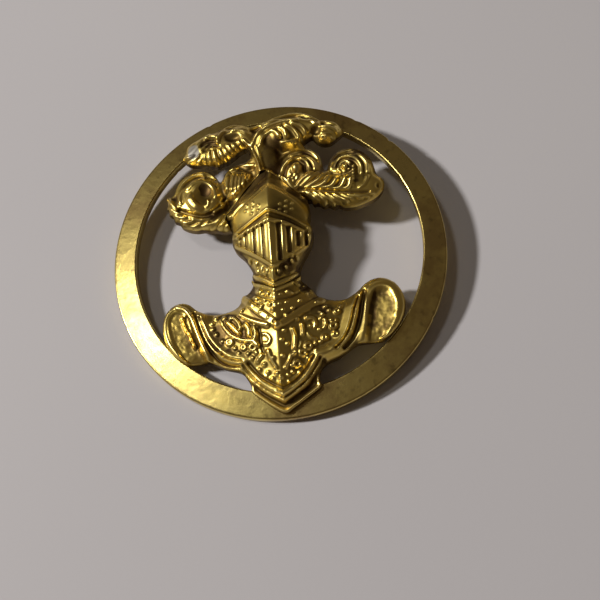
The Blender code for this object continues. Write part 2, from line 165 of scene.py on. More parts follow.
class Relief:
    """A struck piece as a height over each point of a fine grid, cut to its outline."""

    def __init__(self, outline, rim, beside=None):
        """outline is a drawn closed line, at the rim's height unless its points have their own.

        The piece stops short of the one it lies beside by the solder's thickness.
        """
        if len(outline[0]) == 2:
            outline = [(x, y, rim) for x, y in outline]
        self.rim = rim
        self.outline = plan(spline(outline, closed=True, steps=5))
        low, high = self.outline.min(0) - 3 * STEP, self.outline.max(0) + 3 * STEP
        self.x, self.y = np.meshgrid(np.arange(low[0], high[0], STEP), np.arange(low[1], high[1], STEP))
        self.inset = inset(self.outline, self.x, self.y)
        self.free = self.inset
        if beside is not None:
            self.inset = np.minimum(self.inset, -SOLDER - inset(beside.outline, self.x, self.y))
        self.z = np.full(self.x.shape, rim)
        # One mask for tarnish, painted shade and painted highlights: higher is darker gilt
        self.tarnish_and_painted_light = np.zeros(self.x.shape)
        self.bare = np.zeros(self.x.shape)

    def bank(self, step, slope):
        """From the free edge the surface may rise by a short step, then only as steeply as the slope."""
        far = np.clip(self.free, 0, None)
        self.z = np.minimum(self.z, self.rim + 0.1 + step * ease(far, 0, 0.4) + slope * far)

    def meet(self, other, height):
        """Beside the other piece the surface is at least at a height."""
        near = 1 - ease(np.abs(inset(other.outline, self.x, self.y)), 0.1, 0.9)
        self.z = np.maximum(self.z, self.rim + (height - self.rim) * near)

    def patch(self, x, y, across, up, turn=0.0):
        """An oval spot that fades at its ragged edge, in the drawing."""
        c, s = math.cos(math.radians(turn)), math.sin(math.radians(turn))
        dx, dy = self.u - x, self.v - y
        gap = np.hypot((dx * c + dy * s) / across, (dy * c - dx * s) / up)
        return ease(1.15 - gap + 0.25 * noise(self.x, self.y, 0.5, 8), 0.0, 0.4)

    def stain_and_shade(self, amount, spots):
        """Tarnish and painted shade in oval spots, given as patch() takes them."""
        for spot in spots:
            self.tarnish_and_painted_light = np.maximum(self.tarnish_and_painted_light, amount * self.patch(*spot))

    # Painted highlights: the mask is lowered in oval spots, so the gilt shows lighter there
    def clean(self, amount, spots):
        for spot in spots:
            self.tarnish_and_painted_light -= amount * self.patch(*spot)

    def dome(self, x, y, across, up, height, turn=0.0, power=0.5):
        """A swelling over an ellipse whose top is drawn at (x, y)."""
        cx, cy = plan([(x, y, height)])[0]
        c, s = math.cos(math.radians(turn)), math.sin(math.radians(turn))
        dx, dy = self.x - cx, self.y - cy
        gap = ((dx * c + dy * s) / across) ** 2 + ((dy * c - dx * s) / up) ** 2
        bump = self.rim + (height - self.rim) * np.clip(1 - gap, 0, 1) ** power
        self.z = np.maximum(self.z, bump)

    def rope(self, points, width):
        """A round strap along drawn (x, y, height) points."""
        line = spline(points)
        flat = plan(line)
        gap, arc, length = along(self.x, self.y, flat)
        marks = np.concatenate([[0], np.cumsum(np.hypot(*np.diff(flat, axis=0).T))])
        tall = np.interp(arc, marks, line[:, 2])
        wide = np.interp(arc / length, np.linspace(0, 1, len(width)), width)
        bump = self.rim + (tall - self.rim) * np.sqrt(np.clip(1 - (gap / wide) ** 2, 0, 1))
        self.z = np.maximum(self.z, bump)

    def fix_view(self):
        """Detail drawn from now on lands where it is seen on the surface made so far."""
        self.u, self.v = seen(self.x, self.y, self.z)
        self.detail = np.zeros(self.x.shape)

    def window(self, line, margin):
        """The part of the grid near some drawn points."""
        low, high = line.min(0) - margin, line.max(0) + margin
        near = (self.u > low[0]) & (self.u < high[0]) & (self.v > low[1]) & (self.v < high[1])
        rows, cols = np.where(near.any(1))[0], np.where(near.any(0))[0]
        return slice(rows[0], rows[-1] + 1), slice(cols[0], cols[-1] + 1)

    def near(self, points, reach, smooth=True):
        """The grid near a drawn line, the distance to the line there and the share of its length."""
        line = spline(points) if smooth and len(points) > 2 else np.asarray(points, float)
        part = self.window(line, reach)
        gap, arc, length = along(self.u[part], self.v[part], line)
        return part, gap, arc / length

    def ridge(self, points, width, height, smooth=True, taper=0.0):
        """A rounded bead of metal, or a groove if height is negative, along a drawn line.

        width is one half width, or the half widths at the line's start and end.
        """
        start, end = width if isinstance(width, tuple) else (width, width)
        part, gap, share = self.near(points, max(start, end), smooth)
        wide = start + (end - start) * share
        if taper:
            wide = wide * np.clip(np.minimum(share, 1 - share) / taper, 0.0, 1.0) ** 0.5 + 1e-6
        profile = np.sqrt(np.clip(1 - (gap / wide) ** 2, 0, 1))
        self.lay(part, height * profile * np.minimum(wide / max(start, end), 1))

    def ridges(self, *rows):
        """Ridges and grooves, each given as its points, half width and height."""
        for row in rows:
            self.ridge(*row)

    def vee(self, points, width, depth):
        """A sharp V-shaped cut along a drawn line."""
        part, gap, _ = self.near(points, width)
        self.lay(part, -depth * np.clip(1 - gap / width, 0, 1))

    def band(self, points, width, height):
        """A flat-topped strip along a drawn line."""
        part, gap, _ = self.near(points, width)
        self.detail[part] += height * ease(width - gap, 0.0, 0.16)

    def cove(self, points, width, height, power):
        """A crest that the metal sweeps up to from both sides, straight or in a hollow curve."""
        part, gap, _ = self.near(points, width)
        self.detail[part] += height * np.clip(1 - gap / width, 0, 1) ** power

    def join(self, *others):
        """Where this piece's edge lies on another piece, it isn't rounded."""
        for other in others:
            shared = inset(other.outline, self.x, self.y) > -0.12
            self.free = np.where(shared, 9.0, self.free)

    def lay(self, part, bump):
        """Raised work keeps the higher of what is there, cut work keeps the deeper."""
        there = self.detail[part]
        up = np.where(bump > 0, np.maximum(there, bump), there)
        self.detail[part] = np.where(bump < 0, np.minimum(up, bump), up)

    def slot(self, x, low, high, across, depths):
        """An upright cut with its own cross section: offsets from x, and the depth at each."""
        part = self.window(np.array([(x, low), (x, high)]), 0.7)
        cut = np.interp(self.u[part] - x, across, depths)
        ends = ease(self.v[part], low - 0.12, low + 0.06) * (1 - ease(self.v[part],
                                                                      high - 0.06, high + 0.12))
        self.lay(part, -cut * ends)
        # Painted shade in the slot, darker where it is cut deeper
        self.tarnish_and_painted_light[part] = np.maximum(self.tarnish_and_painted_light[part], cut * ends)

    def bead(self, spots, radius, height, stretch=1.0):
        """Small domes, or pits if height is negative, at drawn spots."""
        for spot in spots:
            part = self.window(np.array([spot]), radius * stretch + STEP)
            gap = np.hypot(self.u[part] - spot[0], (self.v[part] - spot[1]) / stretch) / radius
            self.lay(part, height * np.sqrt(np.clip(1 - gap ** 2, 0, 1)))

    def dent(self, x, y, across, up, depth):
        """A smooth round hollow at a drawn spot."""
        gap = ((self.u - x) / across) ** 2 + ((self.v - y) / up) ** 2
        self.detail -= depth * np.clip(1 - gap, 0, 1) ** 1.2

    def loop(self, spots, radius, width, height):
        """Small raised rings at drawn spots."""
        for spot in spots:
            turn = np.linspace(0, 2 * math.pi, 25)
            circle = np.stack([spot[0] + radius * np.cos(turn), spot[1] + radius * np.sin(turn)], 1)
            self.ridge(circle, width, height, smooth=False)

    def settle(self, passes=1):
        """Add the detail, softened as a die does."""
        self.z = self.z + blur(self.detail, 1, passes)

    def mesh(self, name):
        """The closed mesh, in metres, with its hollows' patina and painted shade, fine lines and bare metal
        as attributes.
        """
        fall = np.clip(1 - self.free / EDGE_ROUND, 0, 1)
        top = self.z - EDGE_DROP * fall ** 2
        # Hollows are darkened as patina and painted shade, with the mask's painted spots added
        hollow_shade_and_tarnish = np.clip((blur(top, 6) - top) / DEEP + self.tarnish_and_painted_light, -1, 1)
        crisp = np.clip((blur(top, 2) - top) / FINE, -1, 1)
        land = np.clip((self.inset - LAND) * HOLLOW_SLOPE, 0, None)
        back = np.clip(np.minimum(blur(self.z, 4, 3) - WALL, land), 0, None)
        # The border's points move along the slope of the inset, on to the outline
        gy, gx = np.gradient(self.inset, STEP)
        steep = np.maximum(np.hypot(gx, gy), 0.3) ** 2
        edge = np.clip(self.inset, -0.5 * STEP, 1.5 * STEP)
        pulled = (self.x - edge * gx / steep, self.y - edge * gy / steep)
        # The wall is painted dark as shade, and the back a little less dark
        looks = {"hollow_shade_and_tarnish": (hollow_shade_and_tarnish, 0.9, 0.4), "crisp": (crisp, 0.5, 0.3), "bare": (self.bare, 0.0, 0.0)}
        return sheet_mesh(name, (self.x, self.y), pulled, self.inset > -0.5 * STEP, top, back, looks)


def sheet_quads(keep):
    """The grid cells whose four corners are all kept, and the grid points that they use."""
    cells = keep[:-1, :-1] & keep[1:, :-1] & keep[:-1, 1:] & keep[1:, 1:]
    index = np.arange(keep.size).reshape(keep.shape)
    quads = np.stack([index[:-1, :-1], index[:-1, 1:], index[1:, 1:], index[1:, :-1]], -1)[cells]
    used = np.unique(quads)
    place = np.full(keep.size, -1)
    place[used] = np.arange(len(used))
    return place[quads], used


def border_edges(quads, count):
    """The first and last points of each edge that only one cell has."""
    starts, ends = quads.ravel(), np.roll(quads, -1, axis=1).ravel()
    border = ~np.isin(starts * count + ends, ends * count + starts)
    return starts[border], ends[border]


def sheet_mesh(name, grid, pulled, keep, top, back, looks):
    """Join a front surface, a back surface and the wall between them.

    pulled has the places on the outline that the border's points move to. looks has a label's grid
    for the front, and its values for the wall and the back.
    """
    quads, used = sheet_quads(keep)
    count = len(used)
    border = border_edges(quads, count)
    rim = np.unique(np.concatenate(border))
    rim_place = np.full(count, -1)
    rim_place[rim] = np.arange(len(rim))
    x, y, front_z, back_z = [layer.ravel()[used] for layer in (*grid, top, back)]
    x[rim], y[rim] = [layer.ravel()[used][rim] for layer in pulled]
    points = np.concatenate([
        np.stack([x, y, front_z], 1), np.stack([x[rim], y[rim], front_z[rim] - WALL_INSET], 1),
        np.stack([x[rim], y[rim], np.full(len(rim), WALL_INSET)], 1), np.stack([x, y, back_z], 1),
    ])
    points[:, 2] += EMBLEM_Z
    # Down the wall: the front's edge, two rows of the wall's own points, then the back's edge
    to_back = count + 2 * len(rim)
    rows = [(ends, count + rim_place[ends], count + len(rim) + rim_place[ends], to_back + ends)
            for ends in border]
    faces = [quads, quads[:, ::-1] + to_back]
    for k in range(3):
        faces.append(np.stack([rows[1][k], rows[0][k], rows[0][k + 1], rows[1][k + 1]], 1))
    mesh = quad_mesh(name, points * MM, np.concatenate(faces))
    for label, (front, wall, behind) in looks.items():
        sides = np.full(2 * len(rim), wall)
        store(mesh, label, np.concatenate([front.ravel()[used], sides, np.full(count, behind)]))
    return mesh


def quad_mesh(name, points, faces):
    mesh = bpy.data.meshes.new(name)
    mesh.vertices.add(len(points))
    mesh.vertices.foreach_set("co", points.astype(np.float32).ravel())
    mesh.loops.add(faces.size)
    mesh.loops.foreach_set("vertex_index", faces.astype(np.int32).ravel())
    mesh.polygons.add(len(faces))
    mesh.polygons.foreach_set("loop_start", np.arange(0, faces.size, 4, dtype=np.int32))
    mesh.polygons.foreach_set("loop_total", np.full(len(faces), 4, np.int32))
    mesh.update(calc_edges=True)
    mesh.validate()
    mesh.shade_smooth()
    return mesh


def store(mesh, label, values):
    layer = mesh.attributes.new(label, "FLOAT", "POINT")
    layer.data.foreach_set("value", values.astype(np.float32))


def piece(name, mesh, mat, node):
    """A finished mesh that replaces a CAD node of the badge's own body."""
    obj = bpy.data.objects.new(name, mesh)
    bpy.context.collection.objects.link(obj)
    mesh.materials.append(mat)
    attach(obj, "badge")
    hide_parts(node)


# ---- helm -------------------------------------------------------------------------------------

HELM_RIM = 1.0                               # height of the edge over the ring's face
HELM_OUTLINE = [
    (-3.15, -3.2, 1.0), (-3.05, -2.4, 1.0), (-3.5, -1.3, 1.0), (-4.1, -0.3, 1.0), (-4.85, 0.5, 1.0),
    (-5.3, 1.2, 1.0), (-5.5, 2.2, 1.0), (-5.35, 3.4, 1.0), (-5.95, 4.7, 1.5), (-6.15, 5.4, 1.7),
    (-5.5, 6.3, 1.7), (-4.5, 7.7, 1.9), (-3.4, 9.0, 1.9), (-2.5, 10.0, 1.9), (-1.7, 10.9, 1.9),
    (-1.0, 11.4, 1.9), (-0.3, 11.0, 1.9), (0.6, 10.2, 1.9), (1.5, 9.2, 1.9), (2.4, 8.3, 1.9),
    (3.4, 7.4, 1.8), (4.05, 6.6, 1.3), (4.3, 5.4, 1.0), (4.25, 4.2, 1.0), (4.1, 3.3, 1.0), (4.5, 2.5, 1.0),
    (4.4, 1.3, 1.0), (3.85, 0.0, 1.0), (3.1, -1.2, 1.0), (2.6, -2.3, 1.0), (2.5, -3.2, 1.0),
    (1.4, -3.6, 2.8), (0.0, -4.05, 4.0), (-0.62, -4.3, 4.3), (-1.2, -4.0, 4.0), (-2.3, -3.5, 2.6),
]
# True y, then the ridge's height and the half width
HELM_Y = [-6.4, -5.0, -4.0, -2.8, -1.5, -0.5, 0.1, 0.8, 1.8, 2.9, 4.4, 5.6, 7.0, 8.2, 9.3, 10.4, 11.2]
HELM_RIDGE = [3.8, 4.3, 4.8, 5.15, 5.4, 5.5, 5.55, 5.6, 5.65, 5.65, 5.6, 5.35, 4.9, 4.4, 3.8, 3.0, 2.2]
HELM_HALF = [2.85, 2.8, 2.8, 2.9, 3.5, 4.2, 4.7, 5.1, 5.25, 5.1, 5.6, 5.7, 4.8, 3.8, 2.8, 1.6, 0.8]
SIDE_DROP = 0.68                             # share of its height that the helm loses at its sides
BROW_Y = 3.6
SKULL_FALL, SKULL_REACH = 0.62, 1.6          # slope and width of the metal that turns down round the skull
SKULL_PLATE = [
    (-0.75, 9.2), (-2.0, 8.3), (-3.4, 7.25), (-4.6, 6.2), (-5.5, 5.2), (-5.3, 4.4), (-4.9, 3.0), (-0.9, 2.0),
    (3.7, 3.0), (3.8, 4.6), (3.2, 6.0), (2.0, 7.3), (0.6, 8.4),
]
# Slots to see through: drawn x, lower end, upper end
SIGHTS = [
    (-1.68, -0.75, 4.15), (-2.75, 0.1, 3.65), (-3.78, 0.9, 3.1), (-4.45, 1.45, 2.6),
    (0.5, -0.75, 4.15), (1.72, 0.15, 3.5), (2.86, 0.9, 2.75), (3.9, 0.6, 2.75),
]
# Cross sections of the slots and of the bars' grooves: offsets from the middle, and the depths there
LEFT_SLOT = (-0.14, 0.0, 0.12), (0.0, 0.42, 0.0)
RIGHT_SLOT = (-0.52, -0.42, -0.1, 0.2), (0.0, 0.4, 0.42, 0.0)
BAR_GROOVE = (-0.08, 0.0, 0.08), (0.0, 0.08, 0.0)
ROSETTES = (-2.85, 6.4), (1.4, 6.2)


def profiles(relief, y, *columns):
    """Tables over y, spread across a piece's grid and smoothed."""
    return [blur(np.interp(relief.y, y, column), 3) for column in columns]


def make_helm(mat, helm):
    """The helm has a sharp keel, and sides that fall away from it and turn in at the rim."""
    ridge, half = profiles(helm, HELM_Y, HELM_RIDGE, HELM_HALF)
    q = np.clip(np.abs(helm.x - AXIS_X) / half, 0, 1)
    helm.z = helm.rim + (ridge - helm.rim) * (1 - SIDE_DROP * q) * (1 - q ** 6) ** 0.6
    helm.z = blur(helm.z, 1, 1)
    helm.fix_view()
    # Outside the skull's flat plates the metal turns down to the plumes
    beyond = -inset(spline(SKULL_PLATE, closed=True, steps=4), helm.u, helm.v)
    fall = np.where(helm.v > BROW_Y, np.clip(beyond, 0, SKULL_REACH), 0)
    least = helm.rim + (0.9 + 0.5 * helm.inset) * ease(helm.v, 4.2, 5.6)
    helm.z = np.maximum(helm.z - SKULL_FALL * fall, least)
    helm.fix_view()
    # Darker round the skull where it turns down and at the jaw's sides, a little darker over the whole helm,
    # and painted shade behind the right breaths and over the right brow, the side turned from the lamps
    helm.tarnish_and_painted_light = np.maximum(0.95 * ease(fall, 0.15, 0.8), 0.9 * ease(q, 0.68, 0.9) * (helm.v < 2.5))
    helm.stain_and_shade(0.95, [(1.35, -1.75, 1.9, 0.9, 25)])
    right_brow_shade = ease(helm.u, -0.8, -0.5) * ease(helm.v, 3.0, 4.0)
    helm.tarnish_and_painted_light = np.maximum(helm.tarnish_and_painted_light, 0.26 + 0.2 * right_brow_shade)
    helm.ridges(
        ([(-6.1, 5.0), (-5.2, 6.1), (-3.9, 7.5), (-1.9, 9.5), (-1.0, 10.3)], 0.2, 0.14),
        ([(-5.65, 4.9), (-4.65, 6.3), (-3.4, 7.4), (-2.0, 8.5), (-0.85, 9.45)], 0.14, -0.14),
        ([(-0.6, 9.3), (0.8, 8.5), (2.2, 7.4), (3.5, 5.9)], 0.14, -0.06),
    )
    draw_brow(helm)
    draw_visor(helm)
    around = np.radians(np.arange(25, 385, 60))
    for x, y in ROSETTES:
        petals = [(x + 0.88 * math.cos(turn), y + 0.72 * math.sin(turn)) for turn in around]
        helm.bead([(x, y)] + petals, 0.2, 0.2)
    helm.settle()
    piece("helm_relief", helm.mesh("helm_relief"), mat, "helm")


def draw_brow(helm):
    """The brow's two ridges meet at the keel, with a hollow band between them."""
    upper = [(-5.0, 3.2), (-3.0, 4.65), (-0.95, 6.1), (1.4, 4.85), (3.9, 3.1)]
    lower = [(-4.85, 2.6), (-2.9, 3.68), (-0.85, 4.7), (1.3, 3.95), (3.75, 2.75)]
    for half in (upper[:3], upper[2:]):
        helm.ridge(half, 0.2, 0.36)
    for half in (lower[:3], lower[2:]):
        helm.ridge(half, 0.25, 0.34)
    helm.ridge([(-4.8, 3.0), (-2.98, 4.28), (-0.95, 5.7)], 0.12, -0.2)
    helm.ridge([(-0.9, 5.5), (1.3, 4.5), (3.6, 3.05)], 0.3, -0.24)
    helm.bead([(-4.9, 1.5), (-4.85, 3.0)], 0.2, 0.2)


def draw_visor(helm):
    """Slots to see through, the visor's lower edge, breaths below it and the lames at the throat."""
    for x, low, high in SIGHTS:
        if x < 0:
            helm.slot(x, low, high, *LEFT_SLOT)
            helm.slot(x + 0.5, low - 0.2, high + 0.2, *BAR_GROOVE)
        else:
            helm.slot(x, low, high, *RIGHT_SLOT)
    edge_left = [(-5.0, 1.45), (-3.4, 0.5), (-2.0, -0.45), (-0.72, -1.5)]
    edge_right = [(-0.72, -1.5), (0.6, -1.15), (2.2, -0.35), (4.0, 0.7)]
    for line, height, cut in ((edge_left, 0.3, 0.2), (edge_right, 0.08, 0.08)):
        helm.ridge(line, 0.24, height)
        helm.vee(np.asarray(line) + (0.06, 0.34), 0.12, cut)
        helm.vee(np.asarray(line) + (-0.1, -0.36), 0.14, cut)
    for x, y in ((-3.5, -0.75), (-2.75, -1.2), (-2.1, -1.8), (-1.45, -2.1), (-2.6, -2.2), (-1.7, -2.75)):
        helm.bead([(x, y)], 0.23, 0.2, 2.1)
        helm.vee([(x + 0.3, y - 0.25), (x + 0.3, y + 0.25)], 0.13, 0.2)
    for x, y in ((0.0, -2.25), (0.95, -1.85), (1.7, -1.15), (2.4, -0.8)):
        helm.vee([(x - 0.32, y - 0.3), (x - 0.32, y + 0.3)], 0.2, 0.26)
        helm.bead([(x, y)], 0.2, 0.34, 1.6)
    helm.ridge([(3.95, 0.75), (4.0, 2.1)], 0.16, 0.3)
    for line, height in (([(-3.0, -2.7), (-1.9, -3.2), (-0.68, -4.0)], 0.34),
                         ([(-0.68, -4.0), (0.8, -3.5), (2.5, -2.9)], 0.16)):
        helm.ridge(line, 0.3, height)
        helm.vee(np.asarray(line) + (0.0, 0.46), 0.16, 0.22)


# ---- plume crest ------------------------------------------------------------------------------

CREST_RIM = 0.6
CREST_OUTLINE = [
    (-3.0, 3.6), (-5.2, 3.6), (-6.4, 3.45), (-7.4, 3.75), (-8.3, 3.75), (-8.9, 3.95), (-9.8, 3.95),
    (-10.8, 4.2), (-11.7, 4.75), (-11.9, 5.2), (-12.6, 5.6), (-12.7, 6.2), (-13.3, 6.6), (-13.2, 7.1),
    (-13.6, 7.5), (-13.4, 8.2), (-13.6, 8.9), (-13.1, 9.1), (-12.6, 9.6), (-12.3, 10.4), (-11.6, 11.4),
    (-10.4, 12.1), (-9.2, 12.25), (-8.2, 12.0), (-7.3, 11.35), (-6.85, 10.6), (-6.5, 10.5), (-6.1, 11.2),
    (-5.5, 12.1), (-4.5, 12.6), (-3.3, 12.75), (-2.75, 13.2), (-2.75, 14.0), (-3.2, 14.45), (-3.6, 14.3),
    (-4.2, 14.0), (-4.6, 13.6), (-5.1, 13.3), (-5.7, 12.9), (-6.3, 12.8), (-6.8, 12.45), (-7.4, 12.6),
    (-8.0, 12.7), (-8.6, 12.9), (-9.4, 12.95), (-10.3, 13.1), (-11.0, 13.6), (-11.35, 14.2), (-10.95, 14.9),
    (-10.8, 15.7), (-10.1, 16.3), (-9.2, 16.7), (-8.3, 17.3), (-7.0, 17.7), (-6.0, 18.1), (-4.8, 18.45),
    (-3.6, 18.2), (-2.4, 17.8), (-1.4, 18.0), (0.0, 18.5), (1.6, 19.0), (3.2, 19.2), (4.8, 18.8),
    (6.0, 17.9), (7.2, 17.55), (8.4, 17.1), (9.1, 16.1), (9.25, 15.4), (8.4, 14.6), (7.4, 14.0),
    (6.4, 14.1), (5.7, 14.6), (5.3, 15.1), (4.6, 14.85), (4.1, 14.4), (4.4, 13.9), (5.3, 13.4), (6.0, 12.6),
    (6.3, 11.6), (6.4, 10.8), (6.75, 10.6), (7.1, 11.4), (7.6, 12.3), (8.5, 13.0), (9.6, 13.25),
    (10.8, 13.0), (11.9, 12.1), (12.5, 11.0), (12.75, 9.9), (13.0, 9.0), (13.7, 8.3), (13.65, 7.3),
    (13.2, 6.5), (12.4, 5.8), (11.2, 5.3), (9.8, 4.95), (8.6, 5.0), (8.0, 5.35), (7.4, 5.2), (6.7, 5.6),
    (6.1, 5.45), (5.5, 5.9), (4.9, 5.9), (4.6, 6.4), (4.0, 6.4), (3.6, 6.9), (2.6, 6.6), (0.0, 6.0),
]


def make_crest(mat, crest, helm):
    """Each plume swells up by itself, and the metal between them falls to the rim."""
    # Low left plume: its barbed edge, then the ball that it curls up into
    crest.rope([(-4.6, 5.6, 1.6), (-6.6, 5.0, 2.0), (-9.0, 4.9, 2.1), (-11.1, 5.6, 2.2), (-12.4, 7.0, 2.0),
                (-13.0, 8.4, 1.5)], [1.7, 1.5, 1.3, 1.1, 0.9, 0.6])
    crest.dome(-9.5, 9.1, 3.25, 3.2, 3.0, power=0.6)
    # Small left curl, upper-left feather and its hollow eye
    crest.dome(-4.7, 10.4, 2.2, 2.6, 2.6)
    crest.dome(-6.9, 15.4, 4.9, 2.8, 2.1, turn=8, power=0.4)
    crest.dome(-4.6, 16.4, 2.7, 2.2, 2.2)
    # Centre plume: stem, arch and tip curl, over a dark hollow
    crest.rope([(-1.5, 11.0, 2.2), (-1.85, 12.5, 2.3), (-2.1, 14.6, 2.3), (-1.3, 16.6, 2.2)],
               [0.65, 0.65, 0.75, 1.0])
    crest.rope([(-1.3, 11.2, 1.6), (-1.6, 13.0, 1.7), (-1.7, 15.0, 1.7)], [2.3, 2.5, 2.3])
    crest.dome(2.6, 17.0, 4.5, 2.2, 2.5, turn=-6, power=0.4)
    crest.dome(7.2, 15.8, 2.0, 1.7, 2.2, turn=-30)
    # Right inner curl, leaf and its end curl
    crest.dome(3.3, 11.2, 2.8, 2.8, 2.9, power=0.6)
    crest.dome(7.7, 7.7, 5.6, 3.4, 2.4, turn=-5, power=0.4)
    crest.dome(9.7, 10.6, 2.9, 2.8, 2.8)
    crest.dome(12.0, 8.0, 1.7, 2.0, 2.0)
    crest.meet(helm, 2.0)
    crest.bank(0.8, 0.3)
    crest.z = blur(crest.z, 3, 2)
    crest.fix_view()
    # Painted shade: darker spots in the hollows and eyes of the curls, and over the right-hand curls
    crest.stain_and_shade(0.85, [
        (0.3, 13.6, 1.5, 3.0), (10.6, 10.9, 1.7, 2.2), (-8.7, 9.9, 0.8, 0.9), (-4.9, 16.6, 1.3, 0.9),
        (-3.4, 11.7, 1.1, 0.6), (-8.2, 16.2, 1.2, 0.5), (5.7, 16.2, 0.7, 0.9), (4.6, 12.0, 0.9, 1.3),
        (8.0, 11.6, 1.0, 1.1), (-7.8, 6.1, 1.7, 0.7),
    ])
    # Painted highlights on the upper-left feather's barbs, the leaf's lower barbs and the low ball's lip
    crest.clean(0.45, [(-7.0, 13.9, 3.4, 1.2, 8), (6.3, 6.9, 3.2, 1.3, -10), (-9.9, 7.9, 0.8, 0.6)])
    crest.bare = crest.patch(-10.0, 15.0, 0.7, 1.1)
    draw_low_left_curl(crest)
    draw_small_left_curl(crest)
    draw_upper_left_feather(crest)
    draw_centre_feather(crest)
    draw_right_inner_curl(crest)
    draw_right_leaf(crest)
    crest.settle(2)
    piece("crest_relief", crest.mesh("crest_relief"), mat, "plume_crest")


def strokes(relief, lines, width, height):
    """Barbs, each narrow at its first point and full at its last."""
    for line in lines:
        relief.ridge(line, (0.55 * width, width), height)


def draw_low_left_curl(crest):
    """Barbs along the plume's lower edge, and the smooth ball that it curls into."""
    strokes(crest, [
        [(-12.3, 7.3), (-12.8, 7.9), (-13.35, 8.7)], [(-11.9, 6.7), (-12.6, 6.9), (-13.25, 7.4)],
        [(-11.2, 6.1), (-12.1, 6.1), (-12.85, 6.5)], [(-10.3, 5.5), (-11.3, 5.3), (-12.2, 5.65)],
        [(-9.4, 5.0), (-10.4, 4.6), (-11.35, 4.9)], [(-8.4, 5.1), (-9.2, 4.5), (-10.1, 4.25)],
    ], 0.34, 0.5)
    strokes(crest, [
        [(-6.5, 6.0), (-7.6, 5.0), (-9.0, 4.35)], [(-6.2, 6.3), (-7.1, 5.1), (-7.9, 4.15)],
        [(-5.9, 5.8), (-6.4, 4.9), (-7.0, 4.1)], [(-5.5, 5.4), (-5.7, 4.7), (-6.1, 4.0)],
    ], 0.3, 0.45)
    strokes(crest, [
        [(-9.8, 5.8), (-11.0, 6.6), (-12.2, 7.9)], [(-9.2, 5.6), (-10.2, 5.9), (-11.3, 6.8)],
        [(-8.6, 5.5), (-9.5, 5.5), (-10.4, 5.9)], [(-7.4, 6.0), (-8.3, 5.6), (-9.2, 5.5)],
    ], 0.18, 0.3)
    # The ball has a hollow eye inside a full lip, and fine lines over its shoulder
    crest.ridges(
        ([(-12.0, 8.2), (-12.1, 9.6), (-11.3, 11.0), (-9.8, 11.8), (-8.2, 11.4), (-7.1, 10.2)], 0.2, 0.2),
        ([(-11.6, 8.2), (-11.6, 9.5), (-10.9, 10.7), (-9.6, 11.3), (-8.2, 10.9), (-7.3, 9.9)], 0.18, -0.24),
        ([(-10.9, 10.0), (-9.9, 10.9), (-8.6, 10.8), (-7.6, 9.8), (-7.3, 8.6)], 0.3, 0.2),
    )
    for k in range(3):
        crest.ridge([(-8.6 + 0.1 * k, 11.75 - 0.35 * k), (-7.7 + 0.05 * k, 11.1 - 0.35 * k),
                     (-7.1, 10.2 - 0.3 * k)], 0.12, -0.16)
    crest.dent(-8.95, 9.0, 1.35, 1.5, 0.75)
    crest.ridge([(-10.5, 9.5), (-10.6, 8.4), (-9.9, 7.4), (-8.9, 7.0)], 0.55, 0.35, taper=0.3)
    crest.ridges(
        ([(-8.45, 8.3), (-8.3, 7.8), (-8.5, 7.3)], 0.16, 0.2),
        ([(-12.0, 7.2), (-10.4, 6.5), (-8.8, 6.2), (-7.3, 6.8), (-6.2, 8.0)], 0.3, -0.4),
        ([(-7.6, 6.4), (-6.6, 7.1), (-5.6, 8.2), (-4.6, 8.9)], 0.22, 0.3),
    )
    crest.bead([(-6.65, 7.6), (-5.7, 8.05), (-4.95, 8.3)], 0.2, 0.45)


def draw_small_left_curl(crest):
    """Upright barbs under a curled top."""
    for x, low, high, width in (
        (-5.75, 8.8, 11.2, 0.34), (-5.1, 8.7, 11.6, 0.27), (-4.6, 8.8, 11.4, 0.2), (-4.15, 8.9, 11.3, 0.22),
        (-3.6, 9.4, 11.2, 0.24), (-3.0, 10.0, 11.2, 0.2),
    ):
        crest.ridge([(x - 0.2, low), (x - 0.05, (low + high) / 2), (x + 0.15, high)], width, 0.42, taper=0.2)
    crest.ridge([(-6.1, 10.3), (-5.75, 11.4), (-5.0, 12.1), (-3.9, 12.35), (-2.4, 12.3)], 0.2, 0.3)
    crest.ridge([(-5.3, 11.7), (-4.3, 11.95), (-3.2, 11.7), (-2.4, 11.9)], 0.2, -0.3)


